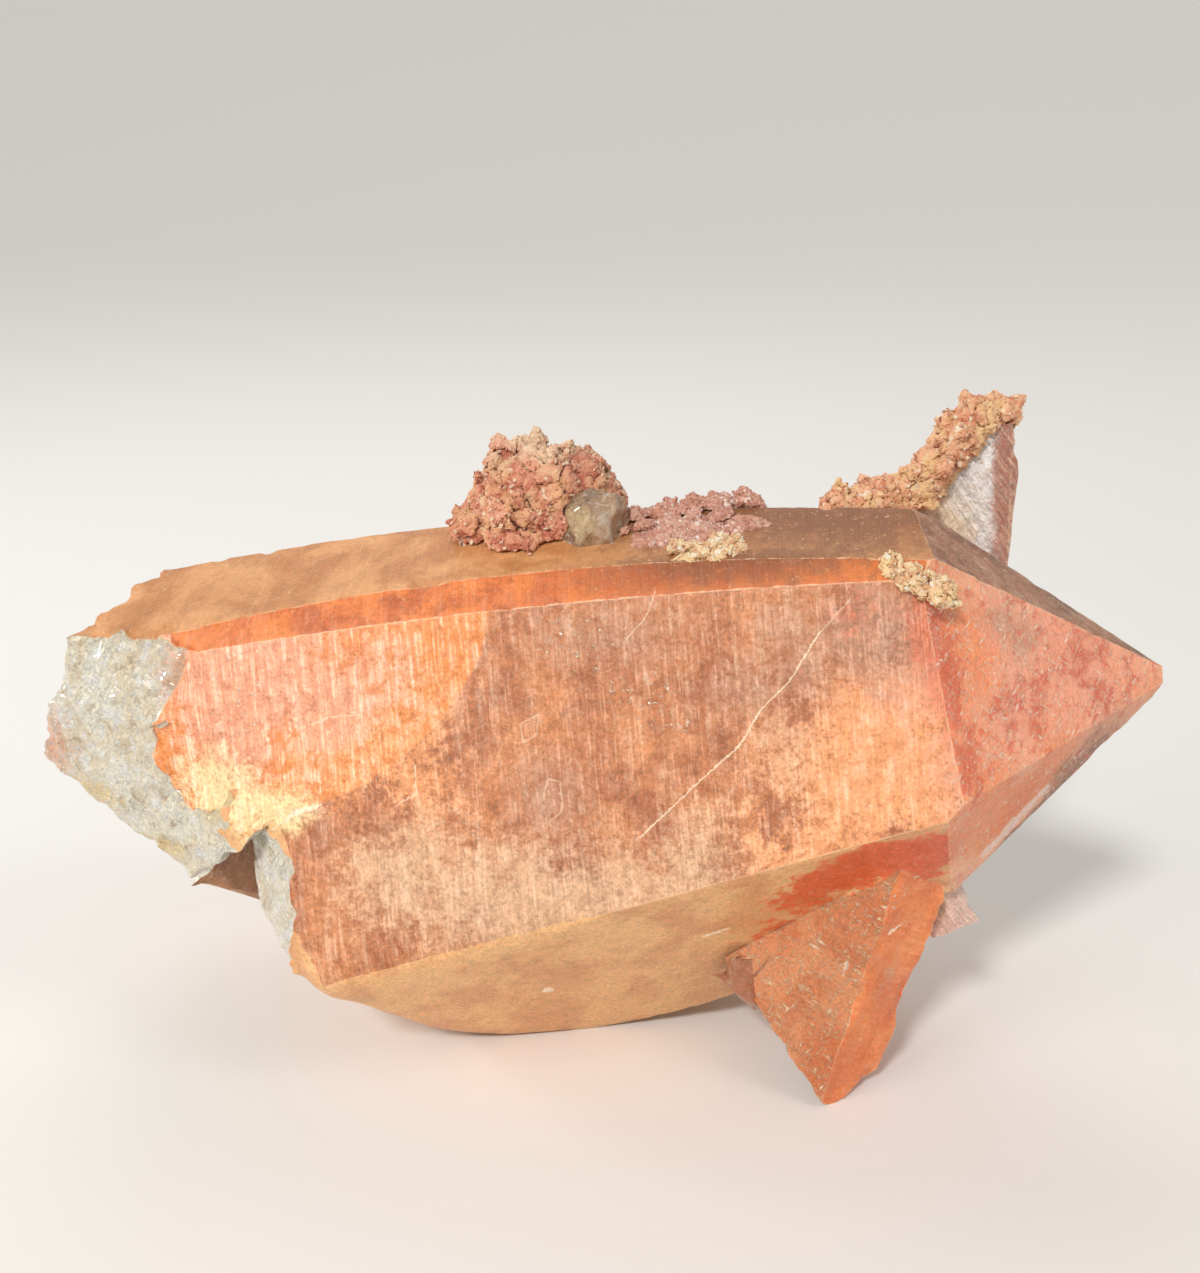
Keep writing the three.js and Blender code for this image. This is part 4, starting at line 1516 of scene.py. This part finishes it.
@dataclass
class Crust:
    """A granular crust: lumps with crevices between them and small crystals grown on top."""

    node: str
    piece: str
    material_slot: str
    finish: CrustFinish
    lump: float
    depth: float
    grain_size: float
    density: float
    spacing: float
    seed: int
    soften: int
    mounds: tuple[Mound, ...] = ()

    def build(self, frame: dict) -> bpy.types.Object:
        """Grows the crust on a copy of the frame's solid.

        Returns:
            The finished object.
        """
        base = self.evened(frame["nodes"][self.node], frame["nodes"]["quartz_crystals"])
        piece = placed(self.piece, base)
        tree, ids = self.tree()
        modifier = piece.modifiers.new("growth", "NODES")
        modifier.node_group = tree
        for name, value in (
            ("Lumps to a Metre", 1 / (self.lump * MM)),
            ("Lump Depth", self.depth * MM),
            ("Grain Size", self.grain_size * MM),
            ("Density", self.density / MM**2),
            ("Seed", self.seed),
        ):
            modifier[ids[name]] = value
        modifier[ids["Finish"]] = self.finish.material()
        evaluated = piece.evaluated_get(bpy.context.evaluated_depsgraph_get())
        grown = bpy.data.meshes.new_from_object(evaluated)
        piece.modifiers.remove(modifier)
        piece.data = grown
        grown.name = self.piece
        return piece

    def evened(self, solid: bpy.types.Object, quartz: bpy.types.Object) -> bpy.types.Mesh:
        """Adds the mounds and splits the long edges until all triangles are small and even.

        Args:
            solid: The frame's own node.
            quartz: The solid that the mounds lie on.

        Returns:
            The finer mesh.
        """
        bm = bmesh.new()
        bm.from_mesh(solid.data)
        bmesh.ops.remove_doubles(bm, verts=bm.verts, dist=2e-6)
        surface = bmesh.new()
        surface.from_mesh(quartz.data)
        tree = BVHTree.FromBMesh(surface)
        surface.free()
        for mound in self.mounds:
            mound.add_to(bm, tree)
        bmesh.ops.triangulate(bm, faces=bm.faces)
        for _ in range(7):
            long = [e for e in bm.edges if e.calc_length() > self.spacing * 1.35 * MM]
            if not long:
                break
            bmesh.ops.subdivide_edges(bm, edges=long, cuts=1)
            bmesh.ops.triangulate(bm, faces=bm.faces)
        for _ in range(self.soften):
            bmesh.ops.smooth_vert(
                bm, verts=bm.verts, factor=0.5, use_axis_x=True, use_axis_y=True, use_axis_z=True
            )
        mesh = bpy.data.meshes.new(self.piece + "_base")
        bm.to_mesh(mesh)
        bm.free()
        return mesh

    def tree(self) -> tuple[bpy.types.NodeTree, dict[str, str]]:
        """Builds the growth: the base becomes lumps, then grains are scattered on them.

        Returns:
            The node tree and the identifier of each named input.
        """
        tree = bpy.data.node_groups.new(self.piece + "_growth", "GeometryNodeTree")
        ids = {}
        for name, kind in (
            ("Base", "NodeSocketGeometry"),
            ("Lumps to a Metre", "NodeSocketFloat"),
            ("Lump Depth", "NodeSocketFloat"),
            ("Grain Size", "NodeSocketFloat"),
            ("Density", "NodeSocketFloat"),
            ("Seed", "NodeSocketInt"),
            ("Finish", "NodeSocketMaterial"),
        ):
            ids[name] = tree.interface.new_socket(name, in_out="INPUT", socket_type=kind).identifier
        tree.interface.new_socket("Crust", in_out="OUTPUT", socket_type="NodeSocketGeometry")
        nodes, link = tree.nodes, tree.links.new
        given = nodes.new("NodeGroupInput").outputs
        offset, crevice, chance = self.lumps(tree, given)
        # How open each point lies, which the finish reads to paint shade into the crevices
        known = self.keep(tree, given["Base"], "crevice", crevice, "POINT")
        known = self.keep(tree, known, "grain", chance, "POINT")
        uneven = nodes.new("GeometryNodeSetPosition")
        link(known, uneven.inputs["Geometry"])
        link(offset, uneven.inputs["Offset"])
        scatter = nodes.new("GeometryNodeDistributePointsOnFaces")
        link(uneven.outputs[0], scatter.inputs["Mesh"])
        link(given["Density"], scatter.inputs["Density"])
        link(given["Seed"], scatter.inputs["Seed"])
        place = nodes.new("GeometryNodeInstanceOnPoints")
        link(scatter.outputs["Points"], place.inputs["Points"])
        link(self.shapes(tree), place.inputs["Instance"])
        place.inputs["Pick Instance"].default_value = True
        turned = nodes.new("FunctionNodeRotateRotation")
        turned.rotation_space = "LOCAL"
        link(scatter.outputs["Rotation"], turned.inputs["Rotation"])
        turns = self.random(tree, given, "FLOAT_VECTOR", (-0.9, -0.9, -3.1), (0.9, 0.9, 3.1), 1)
        link(turns, turned.inputs["Rotate By"])
        link(turned.outputs[0], place.inputs["Rotation"])
        size = nodes.new("ShaderNodeVectorMath")
        size.operation = "SCALE"
        sizes = self.random(tree, given, "FLOAT_VECTOR", (0.5, 0.4, 0.2), (1.3, 1.1, 0.55), 2)
        link(sizes, size.inputs[0])
        link(given["Grain Size"], size.inputs["Scale"])
        link(size.outputs[0], place.inputs["Scale"])
        tints = self.random(tree, given, "FLOAT", 0.0, 1.0, 3)
        tinted = self.keep(tree, place.outputs[0], "grain", tints, "INSTANCE")
        # The grains lie in the open, so they get no painted crevice shade.
        tinted = self.keep(tree, tinted, "crevice", 1.0, "INSTANCE")
        real = nodes.new("GeometryNodeRealizeInstances")
        link(tinted, real.inputs["Geometry"])
        both = nodes.new("GeometryNodeJoinGeometry")
        link(real.outputs[0], both.inputs[0])
        link(uneven.outputs[0], both.inputs[0])
        finished = nodes.new("GeometryNodeSetMaterial")
        link(both.outputs[0], finished.inputs["Geometry"])
        link(given["Finish"], finished.inputs["Material"])
        link(finished.outputs[0], nodes.new("NodeGroupOutput").inputs[0])
        return tree, ids

    @staticmethod
    def keep(
        tree: bpy.types.NodeTree, shape: object, name: str, value: object, domain: str
    ) -> bpy.types.NodeSocket:
        """Stores a value on a shape for its material.

        Args:
            tree: The growth's tree.
            shape: The geometry socket.
            name: The attribute's name.
            value: A socket or a plain number.
            domain: POINT or INSTANCE.

        Returns:
            The geometry socket after the store.
        """
        node = tree.nodes.new("GeometryNodeStoreNamedAttribute")
        node.data_type, node.domain = "FLOAT", domain
        node.inputs["Name"].default_value = name
        tree.links.new(shape, node.inputs["Geometry"])
        if isinstance(value, float):
            node.inputs["Value"].default_value = value
        else:
            tree.links.new(value, node.inputs["Value"])
        return node.outputs[0]

    def lumps(self, tree: bpy.types.NodeTree, given: object) -> tuple[bpy.types.NodeSocket, ...]:
        """Shapes the base into broken lumps of two sizes.

        Args:
            tree: The growth's tree.
            given: The group's inputs.

        Returns:
            The offset of each point, how open it lies from 0 in a crevice to 1 on a lump, and its
            lump's own number.
        """
        sum_of = partial(self.sum, tree)
        noise = tree.nodes.new("ShaderNodeTexNoise")
        tree.links.new(given["Lumps to a Metre"], noise.inputs["Scale"])
        noise.inputs["Detail"].default_value = 4
        centred = tree.nodes.new("ShaderNodeVectorMath")
        centred.operation = "MULTIPLY_ADD"
        tree.links.new(noise.outputs["Color"], centred.inputs[0])
        warp = sum_of("DIVIDE", 0.5, given["Lumps to a Metre"])
        tree.links.new(warp, centred.inputs[1])
        tree.links.new(tree.nodes.new("GeometryNodeInputPosition").outputs[0], centred.inputs[2])
        edges, chances, tilts = [], [], []
        for rate, wide in ((1.0, 0.09), (2.6, 0.14)):
            scale = sum_of("MULTIPLY", given["Lumps to a Metre"], rate)
            rim = tree.nodes.new("ShaderNodeTexVoronoi")
            rim.feature = "DISTANCE_TO_EDGE"
            cell = tree.nodes.new("ShaderNodeTexVoronoi")
            for node in (rim, cell):
                tree.links.new(centred.outputs[0], node.inputs["Vector"])
                tree.links.new(scale, node.inputs["Scale"])
            level = tree.nodes.new("ShaderNodeMapRange")
            level.interpolation_type = "SMOOTHSTEP"
            tree.links.new(rim.outputs["Distance"], level.inputs["Value"])
            level.inputs["From Max"].default_value = wide
            edges.append(level.outputs[0])
            parts = tree.nodes.new("ShaderNodeSeparateXYZ")
            tree.links.new(cell.outputs["Color"], parts.inputs[0])
            chances.append(parts.outputs[0])
            away = self.vector(tree, "SUBTRACT", centred.outputs[0], cell.outputs["Position"])
            slope = self.vector(tree, "SUBTRACT", cell.outputs["Color"], (0.5, 0.5, 0.5))
            tilt = self.vector(tree, "DOT_PRODUCT", away, slope, output="Value")
            tilts.append(sum_of("MULTIPLY", tilt, scale))
        raised = sum_of("MULTIPLY", edges[0], sum_of("MULTIPLY_ADD", chances[0], 0.5, 0.3))
        big = sum_of("ADD", raised, sum_of("MULTIPLY", tilts[0], 2.4))
        small = sum_of("ADD", sum_of("MULTIPLY", edges[1], 0.2), sum_of("MULTIPLY", tilts[1], 0.9))
        uneven = sum_of("MULTIPLY_ADD", noise.outputs[0], 0.8, -0.95)
        height = sum_of("ADD", sum_of("ADD", big, small), uneven)
        offset = tree.nodes.new("ShaderNodeVectorMath")
        offset.operation = "SCALE"
        tree.links.new(tree.nodes.new("GeometryNodeInputNormal").outputs[0], offset.inputs[0])
        tree.links.new(sum_of("MULTIPLY", height, given["Lump Depth"]), offset.inputs["Scale"])
        open_air = sum_of("MULTIPLY", edges[0], sum_of("MULTIPLY_ADD", edges[1], 0.5, 0.5))
        number = sum_of("MULTIPLY_ADD", chances[0], 0.5, sum_of("MULTIPLY", chances[1], 0.5))
        return offset.outputs[0], open_air, number

    @staticmethod
    def vector(
        tree: bpy.types.NodeTree, operation: str, a: object, b: object, output: str = "Vector"
    ) -> bpy.types.NodeSocket:
        """One step of arithmetic on vectors.

        Args:
            tree: The growth's tree.
            operation: What to work out.
            a: The first vector or socket.
            b: The second vector or socket.
            output: Which result to give.

        Returns:
            The result.
        """
        node = tree.nodes.new("ShaderNodeVectorMath")
        node.operation = operation
        for socket, value in zip(node.inputs, (a, b)):
            if isinstance(value, tuple):
                socket.default_value = value
            else:
                tree.links.new(value, socket)
        return node.outputs[output]

    @staticmethod
    def sum(tree: bpy.types.NodeTree, operation: str, *values: object) -> bpy.types.NodeSocket:
        """One step of arithmetic on sockets and numbers.

        Args:
            tree: The growth's tree.
            operation: What to work out.
            values: The numbers and sockets.

        Returns:
            The result.
        """
        node = tree.nodes.new("ShaderNodeMath")
        node.operation = operation
        for socket, value in zip(node.inputs, values):
            if isinstance(value, bpy.types.NodeSocket):
                tree.links.new(value, socket)
            else:
                socket.default_value = value
        return node.outputs[0]

    @staticmethod
    def shapes(tree: bpy.types.NodeTree) -> bpy.types.NodeSocket:
        """The shapes of the grains: a lump, a blunt block and a six-sided point.

        Args:
            tree: The growth's tree.

        Returns:
            The shapes as instances to pick from.
        """
        lump = tree.nodes.new("GeometryNodeMeshIcoSphere")
        lump.inputs["Radius"].default_value = 0.5
        lump.inputs["Subdivisions"].default_value = 1
        block = tree.nodes.new("GeometryNodeMeshCube")
        block.inputs["Size"].default_value = (0.8, 0.8, 0.8)
        point = tree.nodes.new("GeometryNodeMeshCone")
        point.inputs["Vertices"].default_value = 6
        point.inputs["Radius Top"].default_value = 0.16
        point.inputs["Radius Bottom"].default_value = 0.4
        point.inputs["Depth"].default_value = 0.8
        both = tree.nodes.new("GeometryNodeJoinGeometry")
        for shape in (lump, block, point):
            single = tree.nodes.new("GeometryNodeGeometryToInstance")
            tree.links.new(shape.outputs[0], single.inputs[0])
            tree.links.new(single.outputs[0], both.inputs[0])
        return both.outputs[0]

    @staticmethod
    def random(
        tree: bpy.types.NodeTree, given: object, kind: str, low: object, high: object, step: int
    ) -> bpy.types.NodeSocket:
        """A random value for each grain.

        Args:
            tree: The growth's tree.
            given: The group's inputs.
            kind: FLOAT or FLOAT_VECTOR.
            low: The least value.
            high: The largest value.
            step: Added to the seed, so that values differ.

        Returns:
            The random value.
        """
        node = tree.nodes.new("FunctionNodeRandomValue")
        node.data_type = kind
        value_type = "VECTOR" if kind == "FLOAT_VECTOR" else "VALUE"
        sockets = [s for s in node.inputs if s.type == value_type and s.name in ("Min", "Max")]
        sockets[0].default_value, sockets[1].default_value = low, high
        seed = tree.nodes.new("ShaderNodeMath")
        seed.inputs[1].default_value = step
        tree.links.new(given["Seed"], seed.inputs[0])
        tree.links.new(seed.outputs[0], node.inputs["Seed"])
        return next(o for o in node.outputs if o.type == value_type and o.enabled)

    def dress(self, piece: bpy.types.Object) -> None:
        """Puts the crust in its node's place.

        Args:
            piece: The built object.
        """
        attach(piece, "root")
        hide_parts(self.node)


RUSTY = CrustFinish(
    "rusty_matrix", grains=(tint(206, 122, 94), tint(232, 164, 130), tint(252, 226, 192)),
    crevice_shade=tint(104, 50, 34), patch=tint(238, 184, 134), rough=0.5, glints=0.8, pale_above=98.0,
)
BLADE_RUST = CrustFinish(
    "rusty_crust", grains=(tint(222, 148, 112), tint(244, 188, 146), tint(254, 234, 206)),
    crevice_shade=tint(136, 70, 48), patch=tint(246, 208, 150),
)
PLUM = CrustFinish(
    "plum_druse", grains=(tint(202, 138, 118), tint(228, 172, 148), tint(254, 238, 224)),
    crevice_shade=tint(136, 78, 66), patch=tint(214, 146, 118), rough=0.35, glints=0.9,
)
YELLOW = CrustFinish(
    "yellow_grain", grains=(tint(232, 174, 128), tint(250, 218, 172), tint(255, 244, 220)),
    crevice_shade=tint(150, 84, 48), patch=tint(250, 214, 154), rough=0.5, glints=0.35,
)


RIDGE_MOUNDS = (
    Mound((14.5, -19.0, 86.5), (7.4, 3.8), 1.3),
    Mound((21.0, -18.5, 88.0), (7.5, 2.8), 1.0),
)
PATCH_MOUNDS = (
    Mound((18.5, -25.0, 86.0), (5.6, 2.2), 1.3),
    Mound((20.5, -23.6, 86.3), (3.0, 2.2), 1.9),
)

CRUSTS = (
    Crust(
        "matrix_knob", "knob_of_matrix", "rusty_matrix", RUSTY,
        lump=3.2, depth=0.62, grain_size=0.8, density=1.0, spacing=0.4, seed=11, soften=4,
    ),
    Crust(
        "blade_crust", "crust_on_blade", "rusty_crust", BLADE_RUST,
        lump=2.0, depth=0.45, grain_size=0.7, density=0.8, spacing=0.36, seed=23, soften=4,
    ),
    Crust(
        "ridge_crust", "plum_crust", "plum_crust", PLUM,
        lump=1.3, depth=0.25, grain_size=0.5, density=3.5, spacing=0.33, seed=37, soften=12,
        mounds=RIDGE_MOUNDS,
    ),
    Crust(
        "top_patch", "patch_on_top", "yellow_grain", YELLOW,
        lump=1.6, depth=0.35, grain_size=0.9, density=2.0, spacing=0.3, seed=41, soften=8,
        mounds=PATCH_MOUNDS,
    ),
    Crust(
        "corner_patch", "patch_at_corner", "yellow_grain", YELLOW,
        lump=1.8, depth=0.4, grain_size=0.8, density=1.2, spacing=0.3, seed=53, soften=6,
    ),
)


@dataclass
class Studio:
    """A plain pale floor, soft lights and the camera at the photographed angle, with sizes in metres."""

    floor_radius: float = 7.0
    floor_slope: float = 0.19
    floor_flat_to: float = 0.35
    floor_bend: float = 0.5
    floor_rings: int = 60
    floor_parts: int = 96
    floor_colour: Colour = tint(234, 231, 226)
    camera_place: Triple = (0.002539, -0.254615, 0.1387)
    camera_tilt: float = 74.0
    lens: float = 46.66
    sensor: float = 36.0
    near: float = 0.01
    sun_from: Triple = (-0.28, -0.78, 0.62)
    sun_strength: float = 1.9
    sun_spread: float = 8.0
    sky: Colour = (0.92, 0.9, 0.88)
    sky_strength: float = 0.34
    aim: Triple = (0.0, 0.0, 0.05)
    lights: tuple[tuple[Triple, float, float], ...] = (
        ((-0.5, -0.5, 0.45), 0.35, 1.6),
        ((0.5, -0.35, 0.6), 0.3, 1.0),
        ((-0.1, 0.45, 0.6), 0.5, 1.2),
        ((-0.62, 0.15, 0.26), 0.12, 0.75),
    )

    def build(self) -> None:
        """Builds the floor, the lights and the camera."""
        self.lay_floor()
        self.light()
        self.set_camera()
        bpy.context.scene.view_settings.view_transform = "Standard"

    def lay_floor(self) -> None:
        """Lays a round floor that is flat under the part and rises gently far out."""
        count = self.floor_parts
        rings = np.linspace(0.0, 1.0, self.floor_rings + 1)[1:] ** 1.5 * self.floor_radius
        around = np.linspace(0, 2 * math.pi, count + 1)[:-1]
        places = [(0.0, 0.0, 0.0)]
        for far in rings:
            run = math.hypot(max(far - self.floor_flat_to, 0), self.floor_bend)
            height = self.floor_slope * (run - self.floor_bend)
            places += [(far * math.cos(t), far * math.sin(t), height) for t in around]
        faces = [(0, 1 + i, 1 + (i + 1) % count) for i in range(count)]
        for ring in range(len(rings) - 1):
            low = 1 + count * ring
            high = low + count
            for i in range(count):
                j = (i + 1) % count
                faces.append((low + i, high + i, high + j, low + j))
        mesh = bpy.data.meshes.new("floor")
        mesh.from_pydata(places, [], faces)
        mesh.polygons.foreach_set("use_smooth", np.ones(len(faces), bool))
        floor = placed("floor", mesh)
        g = Graph("floor")
        g.set(Base_Color=self.floor_colour, Roughness=0.85)
        mesh.materials.append(g.material)

    def light(self) -> None:
        """Sets the pale sky, one broad sun and the soft boxes."""
        world = bpy.data.worlds.new("soft")
        world.use_nodes = True
        backdrop = world.node_tree.nodes["Background"]
        backdrop.inputs["Color"].default_value = (*self.sky, 1)
        backdrop.inputs["Strength"].default_value = self.sky_strength
        bpy.context.scene.world = world
        lamp = bpy.data.lights.new("sun", "SUN")
        lamp.energy, lamp.angle = self.sun_strength, math.radians(self.sun_spread)
        self.point(placed("sun", lamp), -Vector(self.sun_from))
        for place, size, power in self.lights:
            lamp = bpy.data.lights.new("soft_box", "AREA")
            lamp.size, lamp.energy = size, power
            box = placed("soft_box", lamp)
            box.location = place
            self.point(box, Vector(self.aim) - Vector(place))

    @staticmethod
    def point(lamp: bpy.types.Object, way: Vector) -> None:
        """Turns a lamp so that it shines along a direction."""
        lamp.rotation_euler = way.to_track_quat("-Z", "Y").to_euler()

    def set_camera(self) -> None:
        """Puts the camera where the photograph was taken from."""
        data = bpy.data.cameras.new("camera")
        data.lens, data.sensor_width, data.clip_start = self.lens, self.sensor, self.near
        camera = placed("camera", data)
        camera.location = self.camera_place
        camera.rotation_euler = (math.radians(self.camera_tilt), 0, 0)
        bpy.context.scene.camera = camera


def main() -> None:
    """Builds every piece in order."""
    logging.basicConfig(level=logging.INFO, format="%(message)s")
    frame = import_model()
    quartz = QuartzCrystals()
    piece = quartz.build(frame)
    quartz.dress(piece)
    log.info("%s: %d triangles", piece.name, len(piece.data.polygons))
    for crust in CRUSTS:
        piece = crust.build(frame)
        crust.dress(piece)
        log.info("%s: %d faces", piece.name, len(piece.data.polygons))
    Studio().build()


if __name__ == "__main__":
    main()
